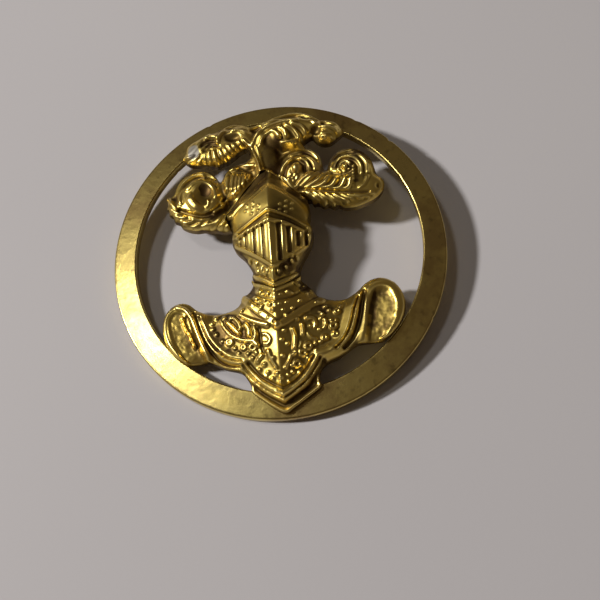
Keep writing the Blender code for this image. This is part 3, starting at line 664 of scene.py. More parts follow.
def draw_upper_left_feather(crest):
    """Barbs that hang from the plume's spine, and its curl round a hollow eye."""
    strokes(crest, [
        [(-10.0, 14.6), (-10.6, 14.3), (-11.1, 14.2)], [(-9.2, 14.6), (-9.8, 13.9), (-10.5, 13.5)],
        [(-8.75, 14.7), (-8.9, 13.9), (-9.4, 13.35)], [(-8.4, 14.8), (-8.5, 13.9), (-8.45, 13.25)],
    ], 0.3, 0.42)
    strokes(crest, [
        [(-7.95, 14.9), (-7.95, 14.0), (-7.65, 13.1)], [(-7.35, 14.9), (-7.2, 13.9), (-6.75, 12.85)],
        [(-6.6, 14.9), (-6.3, 14.1), (-5.8, 13.2)], [(-5.95, 15.0), (-5.6, 14.2), (-5.1, 13.6)],
    ], 0.38, 0.52)
    strokes(crest, [
        [(-5.5, 15.5), (-5.1, 14.7), (-4.55, 13.95)], [(-4.8, 15.5), (-4.5, 14.9), (-4.1, 14.3)],
        [(-4.1, 15.9), (-3.8, 15.3), (-3.4, 14.7)], [(-3.5, 16.1), (-3.1, 15.5), (-2.65, 14.8)],
    ], 0.3, 0.48)
    crest.ridge([(-6.9, 15.6), (-6.7, 16.7), (-6.0, 17.6), (-5.0, 18.05), (-3.8, 17.95), (-2.7, 17.5)],
                0.24, 0.36)
    crest.ridge([(-4.9, 17.6), (-3.9, 17.5), (-3.0, 17.0)], 0.16, 0.3)
    crest.dent(-4.9, 16.7, 1.1, 0.7, 0.6)
    crest.ridges(
        ([(-8.3, 16.9), (-7.7, 17.1), (-7.0, 16.95)], 0.3, 0.42),
        ([(-8.6, 15.3), (-7.8, 15.9), (-6.9, 15.7)], 0.3, -0.3),
        ([(-9.0, 15.9), (-8.2, 16.4), (-7.3, 16.4)], 0.2, -0.3),
        ([(-10.6, 14.8), (-9.8, 15.5), (-9.2, 16.3)], 0.3, 0.12),
    )


def draw_centre_feather(crest):
    """The stem that rises from the helm, the arch over to the right and its tip curl."""
    crest.ridges(
        ([(-1.45, 10.9), (-1.65, 12.2), (-2.0, 13.4), (-2.5, 14.6), (-2.45, 15.6)], 0.2, 0.36),
        ([(-1.05, 11.2), (-1.3, 12.6), (-1.6, 13.8), (-1.9, 15.0)], 0.12, 0.2),
        ([(-2.35, 15.2), (-1.9, 16.4), (-0.9, 17.3), (0.4, 17.8), (2.0, 18.1), (3.6, 18.05)], 0.2, 0.34),
        ([(-2.4, 17.45), (-0.8, 17.9), (1.0, 18.55), (2.8, 18.85), (4.5, 18.55), (6.1, 17.6)], 0.24, 0.38),
        ([(-1.4, 15.0), (-0.9, 16.2), (0.2, 17.0), (1.4, 17.5)], 0.2, 0.24),
        ([(3.6, 18.35), (4.8, 18.15), (5.9, 17.25)], 0.14, 0.3),
    )
    strokes(crest, [
        [(0.1, 17.0), (0.7, 16.6), (1.1, 15.9)], [(1.1, 17.35), (1.8, 16.8), (2.1, 15.9)],
        [(2.0, 17.6), (2.9, 16.9), (3.4, 16.1), (3.8, 15.3)],
        [(2.8, 17.75), (3.9, 17.1), (4.5, 16.2), (4.6, 15.3)],
    ], 0.34, 0.5)
    crest.ridge([(4.4, 15.2), (4.9, 15.3), (5.2, 15.6)], 0.2, 0.4)
    crest.dent(5.8, 16.3, 0.75, 0.8, 0.6)
    for k in range(4):
        y = 15.1 - 0.33 * k
        crest.ridge([(1.3, y - 0.1), (2.2, y), (3.3 - 0.15 * k, y + 0.12)], 0.17, 0.36)
    crest.ridges(
        ([(6.3, 17.3), (7.3, 17.15), (8.3, 16.7), (8.95, 15.8)], 0.24, 0.38),
        ([(6.6, 16.7), (7.5, 16.5), (8.3, 16.0), (8.6, 15.3)], 0.18, 0.34),
        ([(6.6, 16.1), (7.3, 16.1), (7.9, 15.7)], 0.15, 0.26),
    )
    strokes(crest, [
        [(6.2, 15.1), (6.7, 15.3), (7.2, 15.1)], [(6.0, 14.7), (6.6, 14.75), (7.1, 14.6)],
        [(7.0, 15.4), (7.5, 15.1), (7.6, 14.7)],
    ], 0.26, 0.46)
    crest.ridge([(6.3, 14.4), (7.2, 14.35), (8.1, 14.7)], 0.16, 0.3)


def draw_right_inner_curl(crest):
    """A curl of long lines round a bright bead, with a few studs below it."""
    crest.ridge([(0.95, 10.3), (1.1, 11.2), (1.7, 12.15), (2.6, 12.6)], 0.18, 0.36)
    crest.bead([(0.9, 10.45)], 0.26, 0.45)
    crest.ridges(
        ([(1.1, 12.7), (2.0, 13.4), (3.5, 13.75), (4.9, 13.3), (5.8, 12.3), (6.05, 11.3)], 0.18, 0.26),
        ([(2.4, 13.0), (3.5, 13.2), (4.5, 12.7), (5.2, 11.8), (5.4, 10.9)], 0.18, 0.26),
        ([(3.6, 12.6), (4.3, 12.1), (4.7, 11.2), (4.6, 10.6)], 0.18, 0.26),
        ([(1.5, 10.5), (1.8, 11.5), (2.5, 12.2), (3.3, 12.3), (3.9, 11.7), (4.0, 10.8)], 0.24, -0.4),
    )
    crest.bead([(3.05, 11.3)], 0.55, 0.55, 1.5)
    crest.bead([(2.3, 10.5), (2.8, 10.3), (2.5, 9.95), (3.0, 9.8), (2.1, 10.0), (2.6, 9.5), (3.1, 10.1)],
               0.17, 0.24)
    crest.ridge([(1.3, 10.2), (1.9, 9.3), (2.5, 8.4)], 0.2, 0.3)
    crest.ridge([(1.9, 9.9), (2.4, 9.1), (2.9, 8.5)], 0.14, 0.24)


def draw_right_leaf(crest):
    """Barbs above and below a cut spine, and the curl at the leaf's end."""
    strokes(crest, [
        [(2.8, 8.6), (3.7, 9.6), (4.9, 10.25)], [(3.4, 8.65), (4.5, 9.5), (5.6, 10.1)],
        [(4.1, 8.45), (5.3, 9.1), (6.4, 9.85)], [(4.9, 8.25), (6.2, 8.65), (7.0, 9.5)],
        [(5.8, 8.1), (7.2, 8.3), (7.9, 9.1)], [(6.9, 7.85), (8.3, 7.95), (9.0, 9.0)],
        [(8.2, 7.6), (9.3, 7.9), (9.7, 8.9)],
    ], 0.36, 0.5)
    strokes(crest, [
        [(3.9, 7.95), (4.4, 7.2), (4.75, 6.45)], [(4.4, 7.85), (5.0, 6.9), (5.5, 6.1)],
        [(5.0, 7.7), (5.8, 6.8), (6.35, 5.9)], [(5.7, 7.55), (6.6, 6.6), (7.2, 5.75)],
        [(6.6, 7.3), (7.4, 6.5), (8.05, 5.7)], [(7.5, 7.1), (8.2, 6.5), (8.9, 5.95)],
    ], 0.36, 0.52)
    strokes(crest, [
        [(8.4, 7.0), (9.0, 6.6), (9.7, 6.25)], [(9.2, 6.95), (10.0, 6.6), (10.8, 6.25)],
        [(10.0, 6.9), (10.9, 6.6), (11.7, 6.3)], [(10.7, 7.1), (11.5, 6.9), (12.3, 6.7)],
        [(10.6, 7.6), (11.4, 8.2), (11.8, 9.1)],
    ], 0.22, 0.3)
    crest.vee([(3.0, 8.35), (4.2, 8.15), (6.0, 7.85), (8.0, 7.45), (9.8, 7.2), (11.8, 7.0)], 0.17, 0.35)
    crest.ridge([(8.0, 5.3), (9.3, 5.2), (10.8, 5.45), (12.2, 6.05), (13.2, 7.0)], 0.26, 0.24)
    crest.dent(12.95, 7.8, 0.42, 0.6, 0.4)
    # End curl, winding in to a bright bead
    for k in range(7):
        crest.bead([(9.95 + 0.04 * k, 8.0 + 0.45 * k)], 0.14, 0.3, 1.3)
    crest.ridges(
        ([(7.3, 10.7), (7.6, 11.7), (8.6, 12.6), (9.8, 12.8), (11.0, 12.2), (11.8, 11.0), (11.85, 9.7)],
         0.17, 0.28),
        ([(8.0, 11.0), (8.6, 11.9), (9.6, 12.1), (10.6, 11.6), (11.1, 10.7), (11.1, 9.6)], 0.17, 0.28),
        ([(8.2, 10.4), (8.6, 11.2), (9.3, 11.5), (9.75, 11.1)], 0.17, 0.28),
        ([(8.1, 10.9), (8.5, 11.6), (9.3, 11.85), (10.1, 11.5), (10.6, 10.7), (10.6, 9.6)], 0.16, -0.26),
        ([(7.5, 10.1), (8.2, 9.9), (9.0, 9.8), (9.6, 10.1)], 0.2, -0.28),
    )
    crest.bead([(9.05, 10.7)], 0.4, 0.55)
    crest.bead([(8.45, 10.1), (9.6, 10.35)], 0.18, 0.25)


# ---- cuirass ----------------------------------------------------------------------------------

CUIRASS_RIM = 0.9
CUIRASS_OUTLINE = [
    (-3.15, -3.0), (-3.2, -3.9), (-3.75, -4.7), (-4.5, -5.2), (-4.85, -6.0), (-5.6, -6.65), (-7.0, -7.0),
    (-8.3, -7.0), (-9.5, -6.7), (-10.3, -6.2), (-11.1, -5.45), (-12.1, -5.15), (-13.1, -5.45),
    (-14.0, -6.4), (-14.4, -7.8), (-14.3, -9.3), (-13.8, -10.8), (-12.9, -12.0), (-11.75, -12.85),
    (-11.45, -12.95), (-10.2, -12.95), (-9.0, -12.95), (-8.6, -13.05), (-7.9, -13.4), (-6.8, -13.95),
    (-5.6, -14.3), (-5.0, -14.6), (-4.5, -15.3), (-4.05, -16.2), (-3.9, -17.0), (-2.9, -17.9),
    (-1.6, -18.9), (-0.2, -19.65), (0.9, -19.1), (2.4, -18.15), (4.1, -16.95), (4.0, -16.2), (4.15, -15.3),
    (4.6, -14.6), (5.3, -14.2), (6.6, -13.7), (7.8, -12.9), (8.7, -12.4), (9.3, -12.3), (10.4, -12.25),
    (11.4, -12.2), (11.8, -12.1), (12.9, -11.4), (14.1, -10.0), (14.75, -8.3), (14.65, -6.7), (13.8, -5.2),
    (12.4, -4.4), (11.1, -4.5), (10.0, -5.15), (9.0, -6.15), (7.4, -6.7), (5.8, -6.5), (4.6, -6.0),
    (4.0, -5.2), (3.3, -4.4), (2.7, -3.8), (2.4, -3.0), (0.0, -3.0),
]
# True y, then the keel's height, the half width of the swelling and its height at that width
CUIRASS_Y = [-20.0, -18.9, -17.6, -16.2, -14.8, -13.4, -12.0, -10.5, -9.0, -7.6, -6.6, -5.6, -4.6, -3.5]
CUIRASS_KEEL = [0.8, 1.2, 1.9, 2.5, 2.9, 3.3, 3.6, 3.9, 4.1, 4.2, 4.15, 4.05, 4.0, 4.0]
CUIRASS_HALF = [0.8, 2.2, 3.9, 4.5, 6.0, 8.0, 9.0, 9.5, 9.5, 9.0, 7.0, 5.2, 4.2, 3.6]
CUIRASS_SIDE = [0.8, 0.9, 1.0, 1.2, 1.3, 1.4, 1.4, 1.4, 1.4, 1.4, 1.3, 1.2, 1.1, 1.0]
COLLAR_LEFT = [(-4.5, -5.35), (-3.4, -6.4), (-2.4, -7.4), (-1.3, -8.35), (-0.5, -9.1)]
COLLAR_RIGHT = [(-0.5, -9.1), (0.9, -8.4), (2.4, -7.6), (3.8, -6.9), (4.9, -6.5)]
# The crests that the metal sweeps up to, outside the engraved fields
FIELD_EDGE = [
    [(-9.9, -7.0), (-9.5, -8.4), (-8.9, -10.0), (-8.1, -11.2), (-7.1, -12.2), (-6.0, -12.9), (-4.9, -13.3),
     (-4.1, -14.6), (-3.2, -15.7), (-1.9, -16.9), (-0.3, -17.9)],
    [(9.3, -6.7), (8.8, -8.1), (8.3, -9.6), (7.7, -11.0), (6.9, -12.1), (5.6, -13.0), (4.2, -13.6),
     (3.4, -14.8), (2.4, -15.9), (1.1, -17.0), (-0.2, -17.9)],
]
LEFT_SCOOP = [
    (-13.85, -8.2), (-13.75, -6.9), (-13.1, -6.15), (-12.3, -6.1), (-11.6, -6.8), (-11.0, -8.1),
    (-10.5, -9.5), (-9.95, -10.9), (-9.3, -12.3), (-8.7, -13.8), (-10.4, -15.0), (-12.2, -14.0),
    (-12.6, -11.7), (-13.4, -10.1),
]
RIGHT_SCOOP = [
    (10.9, -6.0), (12.0, -5.3), (13.2, -5.6), (14.0, -7.0), (13.95, -8.8), (13.4, -10.3), (12.6, -11.4),
    (12.4, -13.2), (10.6, -14.2), (9.2, -13.4), (9.5, -11.4), (9.9, -9.8), (10.2, -8.0),
]
TENT_HOLLOW = 1.45                           # above 1, the breast's slopes are hollow
TENT_EDGE = 1.2                              # width over which it rises from the rim
SCOOP_DEPTH = 0.42
# Each scoop: its outline, how its floor leans, how wide its wall is and how high its lip
SCOOPS = (LEFT_SCOOP, -0.08, 0.5, 0.05), (RIGHT_SCOOP, 0.09, 0.9, 0.2)
FLANGE_TOP, FLANGE_REACH = -13.9, 4.9        # where the flange begins, and how far to each side
FLANGE_WIDTH = 0.8


def make_cuirass(mat, plate):
    """The breast is a tent that falls from its keel, with a swept-up edge round each engraved field."""
    keel, half, side = profiles(plate, CUIRASS_Y, CUIRASS_KEEL, CUIRASS_HALF, CUIRASS_SIDE)
    q = np.clip(np.abs(plate.x - AXIS_X) / half, 0, 1)
    tent = side + (keel - side) * (1 - q) ** TENT_HOLLOW
    plate.z = plate.rim + (tent - plate.rim) * np.clip(plate.free / TENT_EDGE, 0, 1) ** 0.6
    plate.z = blur(plate.z, 2, 1)
    plate.fix_view()
    plate.cove(FIELD_EDGE[0], 1.5, 0.5, 1.6)
    plate.cove(FIELD_EDGE[1], 1.2, 0.7, 1.0)
    # Painted shade: darker spots along the grooves round the breast's fields, beside the neck and in the
    # cove by the waist
    plate.stain_and_shade(0.7, [
        (-7.9, -10.0, 1.1, 2.3, -25), (-5.0, -12.3, 2.2, 0.5, -15), (-4.3, -13.6, 0.5, 1.8, 35),
        (-6.4, -7.6, 1.5, 0.5), (5.0, -7.6, 1.6, 0.6), (10.8, -7.0, 0.6, 2.0, -15),
        (9.6, -9.4, 0.75, 2.8, -14), (8.1, -12.2, 1.2, 0.5, 25), (-3.7, -4.4, 0.7, 1.0, 20),
        (3.2, -4.4, 0.8, 1.1, -20), (4.7, -15.2, 0.5, 1.6),
    ])
    # Painted shade over the right scoop, and over the left collar band where it faces the key lamp
    plate.stain_and_shade(0.4, [(12.2, -8.8, 1.5, 3.2, -10), (-3.0, -7.0, 1.6, 0.7, -45)])
    # Painted highlights along the right field's swept-up edge and the left scoop's roll
    plate.clean(0.6, [(7.6, -9.6, 0.8, 2.6, -22), (-11.0, -8.0, 0.8, 2.6, 20)])
    draw_scoops(plate)
    draw_collar(plate)
    draw_left_shoulder(plate)
    draw_right_shoulder(plate)
    draw_breast(plate)
    draw_waist(plate)
    plate.settle(2)
    piece("cuirass_relief", plate.mesh("cuirass_relief"), mat, "cuirass")


def draw_scoops(plate):
    """The arm openings: hollow, grained like leather, and open at the bottom."""
    for scoop, lean, wall, lip in SCOOPS:
        hollow = inset(spline(scoop, closed=True, steps=5), plate.u, plate.v)
        middle = np.mean(scoop, axis=0)
        tilt = lean * (plate.u - middle[0]) * ease(hollow, 0.0, 0.6)
        floor = -SCOOP_DEPTH * ease(hollow, 0.0, wall) + tilt
        grain = 0.03 * noise(plate.x, plate.y, 0.24, 3) + 0.03 * noise(plate.x, plate.y, 0.5, 4)
        lift = lip * np.exp(-(hollow / 0.6) ** 2)
        plate.detail += np.where(hollow > 0, floor + grain * ease(hollow, 0.1, 0.5), 0) + lift


def draw_collar(plate):
    """A studded band in a deep V over the breast, and the beaded gorget above it."""
    for line in (COLLAR_LEFT, COLLAR_RIGHT):
        plate.band(line, 0.52, 0.28)
        lean = 0.42 if line is COLLAR_LEFT else -0.42
        plate.vee(np.asarray(line) + (lean, 0.44), 0.14, 0.12)
    plate.bead([(-4.1, -5.5), (-3.4, -6.3), (-2.5, -7.3), (-1.6, -8.1), (-0.76, -8.75)], 0.19, 0.5)
    plate.bead([(3.24, -5.46), (2.36, -6.26), (1.46, -7.14), (0.6, -7.9)], 0.2, 0.42)
    plate.bead([(4.35, -6.75)], 0.27, 0.55)
    plate.bead([(-0.1, -6.4), (0.75, -6.3), (0.1, -5.2), (2.9, -4.6), (1.9, -5.3), (0.3, -7.2)], 0.18, 0.34)
    plate.ridge([(0.95, -4.95), (1.35, -5.25)], 0.24, 0.45)
    plate.ridge([(2.05, -4.0), (2.4, -4.35)], 0.22, 0.42)
    plate.bead([(-2.45, -4.65), (-1.55, -5.0), (-2.9, -5.5), (-1.9, -5.7)], 0.38, 0.42)
    plate.bead([(-1.3, -6.4), (-2.3, -6.5), (-0.95, -7.1), (-0.8, -5.9)], 0.27, 0.36)
    for line in ([(-3.1, -3.7), (-2.0, -4.0), (-0.6, -4.6)], [(-0.6, -4.6), (1.0, -4.1), (2.7, -3.4)]):
        plate.ridge(line, 0.24, 0.3)
    for line in ([(-3.5, -4.6), (-2.3, -5.3), (-0.7, -5.8)], [(-0.5, -5.8), (1.3, -5.7), (3.3, -4.7)]):
        plate.vee(line, 0.2, 0.22)


def draw_left_shoulder(plate):
    """The rim of the left scoop, its pebbled roll, and the lines that run down beside the breast."""
    plate.ridges(
        ([(-11.5, -12.8), (-12.6, -11.8), (-13.6, -10.3), (-14.05, -9.0), (-14.15, -7.8), (-13.9, -6.7),
          (-13.3, -6.0), (-12.6, -5.75)], 0.14, 0.24),
        ([(-12.6, -5.7), (-11.6, -6.1), (-10.95, -7.0), (-10.5, -8.2), (-10.1, -9.4), (-9.65, -10.7),
          (-9.1, -12.0), (-8.75, -12.9)], 0.3, 0.42),
        ([(-11.5, -7.0), (-11.1, -8.3), (-10.7, -9.6), (-10.2, -11.0), (-9.6, -12.4)], 0.16, -0.28),
    )
    for x, y in ((-12.1, -7.2), (-11.95, -7.9), (-11.7, -8.6), (-11.35, -9.2), (-11.1, -9.9),
                 (-10.8, -10.6)):
        plate.ridge([(x, y + 0.25), (x + 0.18, y - 0.2)], 0.17, 0.34)
    plate.vee([(-10.55, -6.6), (-10.15, -7.8), (-9.75, -9.1), (-9.2, -10.5), (-8.5, -11.8), (-7.6, -12.9),
               (-6.4, -13.6), (-5.1, -13.9)], 0.2, 0.4)
    plate.ridge([(-10.1, -7.0), (-9.75, -8.3), (-9.3, -9.7), (-8.6, -11.1), (-7.6, -12.3), (-6.5, -13.05),
                 (-5.1, -13.45)], 0.17, 0.34)
    plate.vee([(-9.9, -7.3), (-9.5, -8.5), (-9.0, -9.8), (-8.3, -11.0), (-7.3, -12.1), (-6.3, -12.8),
               (-5.0, -13.15)], 0.12, 0.24)
    plate.ridge([(-9.7, -7.6), (-9.25, -8.7), (-8.75, -9.9), (-8.0, -11.0), (-7.1, -11.9), (-6.1, -12.55),
                 (-4.9, -12.9)], 0.15, 0.22)
    plate.ridge([(-8.6, -12.9), (-7.4, -13.6), (-6.2, -13.95), (-5.2, -14.05)], 0.16, 0.2)


def draw_right_shoulder(plate):
    """The rim of the right scoop, and the lines that run down beside the breast."""
    plate.ridges(
        ([(10.35, -5.9), (11.2, -5.0), (12.4, -4.8), (13.5, -5.35), (14.3, -6.7), (14.4, -8.3),
          (13.8, -10.0), (12.7, -11.3), (11.6, -12.0)], 0.15, 0.22),
        ([(10.1, -5.9), (9.75, -7.2), (9.4, -8.8), (8.9, -10.3), (8.2, -11.6), (7.2, -12.6)], 0.28, -0.3),
        ([(9.55, -6.5), (9.05, -8.0), (8.6, -9.6), (8.0, -11.1), (7.2, -12.2), (6.3, -12.9), (4.7, -13.7)],
         0.17, 0.4),
    )
    plate.vee([(9.3, -6.6), (8.75, -8.0), (8.35, -9.4), (7.8, -10.8), (7.0, -11.9), (6.2, -12.6)],
              0.11, 0.26)
    plate.ridge([(8.95, -6.9), (8.5, -8.0), (8.1, -9.4), (7.6, -10.6), (6.9, -11.5), (6.0, -12.3)],
                0.14, 0.16)


def draw_breast(plate):
    """The two engraved fields: leafy strokes, small rings and a scatter of studs."""
    plate.ridges(
        ([(-7.35, -7.8), (-6.9, -8.8), (-6.1, -9.8), (-5.0, -10.5), (-3.6, -10.8), (-3.0, -11.4)],
         (0.16, 0.3), 0.5),
        ([(-6.5, -8.2), (-5.9, -8.9), (-5.2, -9.75)], (0.3, 0.36), 0.55),
        ([(-5.7, -7.7), (-5.2, -8.4), (-4.95, -9.1)], (0.2, 0.28), 0.45),
        ([(-4.35, -8.7), (-4.0, -9.3), (-3.95, -10.1)], (0.34, 0.4), 0.6),
        ([(-3.4, -8.9), (-3.2, -9.8), (-3.3, -10.5)], (0.18, 0.26), 0.5),
        ([(-5.1, -7.3), (-4.0, -8.0), (-2.9, -8.55), (-1.8, -8.95)], (0.2, 0.4), 0.5),
        ([(-2.5, -10.0), (-1.9, -10.1), (-1.5, -10.7), (-1.8, -11.3), (-2.3, -11.2)], (0.16, 0.24), 0.3),
        ([(-1.8, -12.2), (-1.5, -13.2), (-0.9, -14.3)], (0.3, 0.2), 0.4),
        ([(-2.6, -11.7), (-2.5, -12.5), (-2.9, -13.0)], (0.2, 0.26), 0.4),
        ([(1.25, -9.7), (1.5, -10.8), (1.35, -12.2)], (0.22, 0.26), 0.5),
        ([(2.45, -9.3), (2.5, -9.9), (2.4, -10.6)], (0.24, 0.16), 0.55),
        ([(3.1, -8.55), (3.7, -8.6), (4.0, -9.2), (3.9, -9.85)], (0.3, 0.16), 0.5),
        ([(5.2, -9.0), (5.25, -9.5), (5.0, -10.0)], (0.26, 0.18), 0.45),
        ([(0.9, -12.9), (0.6, -13.7), (0.15, -14.4)], (0.12, 0.2), 0.4),
        ([(2.2, -11.4), (1.9, -12.2), (1.2, -12.9)], (0.12, 0.2), 0.35),
        ([(4.6, -7.9), (5.0, -8.3), (4.7, -8.8)], (0.12, 0.22), 0.35),
        ([(3.0, -10.4), (3.4, -11.0), (4.0, -11.3)], (0.12, 0.22), 0.35),
        ([(-7.9, -10.2), (-7.5, -11.0), (-6.9, -11.7), (-6.1, -12.2)], (0.12, 0.16), 0.26),
    )
    plate.vee([(-2.75, -9.3), (-2.65, -10.4), (-2.6, -11.4), (-2.35, -12.3)], 0.2, 0.35)
    plate.vee([(-6.9, -8.3), (-6.2, -9.4), (-5.1, -10.15), (-3.9, -10.45)], 0.12, 0.2)
    plate.loop([(-6.35, -10.7), (-3.6, -11.6), (6.15, -9.85), (3.0, -12.0), (2.3, -12.8), (1.55, -14.05)],
               0.36, 0.17, 0.42)
    plate.loop([(-4.7, -11.5), (6.7, -8.1), (6.3, -10.9), (5.0, -11.2)], 0.26, 0.14, 0.4)
    plate.bead([(-5.3, -12.15), (-5.75, -11.5), (-7.9, -9.6), (-8.35, -8.2), (-7.9, -7.5), (-4.75, -6.8),
                (-6.1, -7.7), (-6.35, -10.7), (-3.2, -12.3), (-4.2, -12.3), (-7.2, -10.5), (-8.3, -8.9),
                (-6.9, -7.6)], 0.3, 0.32)
    plate.bead([(5.3, -11.4), (4.5, -11.65), (-0.05, -10.9), (0.6, -11.5), (-0.05, -12.9), (3.85, -11.8),
                (4.5, -10.1), (5.75, -7.9), (7.1, -7.6), (5.9, -9.1), (6.5, -9.2), (3.9, -12.6), (5.3, -7.4),
                (0.3, -9.8), (3.4, -9.6), (1.9, -8.6), (6.2, -11.9), (5.4, -12.3)], 0.23, 0.36)
    plate.bead([(-3.1, -13.3), (-2.35, -13.75), (-2.95, -14.4), (-1.95, -14.8), (-1.45, -15.6),
                (-2.3, -15.4), (-0.45, -15.5), (-0.9, -15.0), (-1.25, -13.1), (-3.7, -12.9),
                (-0.6, -16.2)], 0.3, 0.32)
    plate.bead([(1.0, -15.0), (0.45, -15.3), (2.2, -14.3), (1.8, -15.1), (0.5, -16.1), (2.9, -13.5),
                (0.9, -14.2)], 0.21, 0.36)


def draw_waist(plate):
    """Two ridges run down to the point, over a flat flange."""
    edge = [(-5.05, -13.7), (-4.4, -14.9), (-3.5, -16.0), (-2.1, -17.2), (-0.25, -18.35), (1.1, -17.5),
            (2.4, -16.6), (3.6, -15.2), (4.5, -13.85)]
    flange = -inset(np.array([(-5.4, -12.5)] + edge + [(5.0, -12.5)]), plate.u, plate.v)
    below = (plate.v < FLANGE_TOP) & (np.abs(plate.u) < FLANGE_REACH) & (flange > 0)
    out = np.clip(plate.free, 0, None)
    strip = 0.5 + 0.32 * np.interp(out, (0.0, 0.1, FLANGE_WIDTH), (0.8, 1.0, 0.0))
    inner = np.clip(out - FLANGE_WIDTH, 0, None)
    share = inner / (inner + np.clip(flange, 0.05, None))
    slope = strip + (plate.z - strip) * share
    plate.detail = np.where(below, (slope - plate.z) * ease(flange, 0.0, 0.25), plate.detail)
    for line in (edge[:5], edge[4:]):
        plate.ridge(line, 0.17, 0.3)
    for line in ([(-4.8, -13.4), (-3.95, -14.75), (-3.05, -15.7), (-1.75, -16.8), (-0.25, -17.75)],
                 [(-0.25, -17.75), (1.1, -16.85), (2.35, -15.75), (3.3, -14.6), (4.05, -13.2)]):
        plate.ridge(line, 0.24, 0.28)
    for line in ([(-4.97, -13.5), (-4.2, -14.85), (-3.3, -15.9), (-1.95, -17.05), (-0.25, -18.08)],
                 [(-0.25, -18.08), (1.1, -17.2), (2.45, -16.2), (3.5, -14.95), (4.35, -13.5)]):
        plate.vee(line, 0.11, 0.24)
    for line in ([(-4.2, -13.5), (-3.0, -15.0), (-1.6, -16.05), (-0.25, -16.8)],
                 [(-0.25, -16.8), (1.2, -16.05), (2.4, -14.9), (3.5, -13.3)]):
        plate.vee(line, 0.2, 0.3)


# ---- ring -------------------------------------------------------------------------------------

RING_HOLE_R = 17.65
HOLE_RISE = 0.45                             # the hole's centre is this far above the ring's
RING_FALL = 0.2                              # how far the face falls away to its outer edge
RING_EDGE = 0.22                             # width of the rounded edges
RING_TURNS, RING_CELLS = 720, 26             # mesh points round the ring, and cells across its face
# Nicks in the edges: degrees round, depth, half width in degrees
OUTER_NICKS = [(43.0, 0.16, 0.7), (57.5, 0.08, 0.9), (112.5, 0.1, 0.8), (201.0, 0.07, 0.6),
               (331.0, 0.08, 0.6)]
INNER_NICKS = [(28.0, 0.06, 0.8), (134.0, 0.07, 0.7), (262.0, 0.05, 0.9)]


def nicked(angle, nicks):
    """How deep the nicks cut at each angle."""
    depth = np.zeros(angle.shape)
    for where, deep, wide in nicks:
        gap = (angle - where + 180) % 360 - 180
        depth = np.maximum(depth, deep * np.exp(-(gap / wide) ** 2))
    return depth


def ring_stops():
    """The band's section, point by point from the hole's wall, over the face and back underneath.

    Each stop has its share across the band, its distance in from that side and its height over the face.
    """
    e = RING_EDGE
    edge = [(0.1 * e, -1.2 * e), (0.25 * e, -0.45 * e), (0.6 * e, -0.12 * e), (e, 0.0)]
    foot = [(0, -RING_THICK + e), (0.3 * e, -RING_THICK + 0.3 * e), (e, -RING_THICK)]
    stops = [(0, *foot[0])] + [(0, *stop) for stop in edge]
    stops += [(k / RING_CELLS, 0, 0.0) for k in range(1, RING_CELLS)]
    stops += [(1, *stop) for stop in edge[::-1] + foot]
    return stops + [(0, *stop) for stop in foot[:0:-1]]


def make_ring(mat):
    """The band as one closed surface: face, rounded edges, both walls and the back."""
    angle = np.arange(RING_TURNS) * 360 / RING_TURNS
    across, up = np.cos(np.radians(angle)), np.sin(np.radians(angle))
    inner = RING_HOLE_R + nicked(angle, INNER_NICKS)
    outer = RING_R - nicked(angle, OUTER_NICKS)
    hole_x, hole_y = inner * across, HOLE_RISE + inner * up
    wide_x, wide_y = outer * across - hole_x, outer * up - hole_y
    band = np.hypot(wide_x, wide_y)
    rows = []
    for share, back_in, height in ring_stops():
        s = np.abs(share - back_in / band)
        if 0 < share < 1:
            s = RING_EDGE / band + share * (1 - 2 * RING_EDGE / band)
        x, y = hole_x + wide_x * s, hole_y + wide_y * s
        z = height + np.zeros(RING_TURNS)
        if height > -0.5 * RING_THICK:
            z = z - RING_FALL * s
        if height == 0.0:
            z = z + 0.005 * noise(x, y, 2.1, 5) + 0.002 * noise(x, y, 0.6, 6) - 0.01
        rows.append(np.stack([x, y, z], 1))
    points = np.concatenate(rows)
    points[:, 2] += FACE_Z
    index = np.arange(len(points)).reshape(len(rows), RING_TURNS)
    after = np.roll(index, -1, 0)
    faces = np.stack([index, after, np.roll(after, -1, 1), np.roll(index, -1, 1)], -1).reshape(-1, 4)
    piece("ring_band", quad_mesh("ring_band", points * MM, faces), mat, "ring")


# ---- materials --------------------------------------------------------------------------------

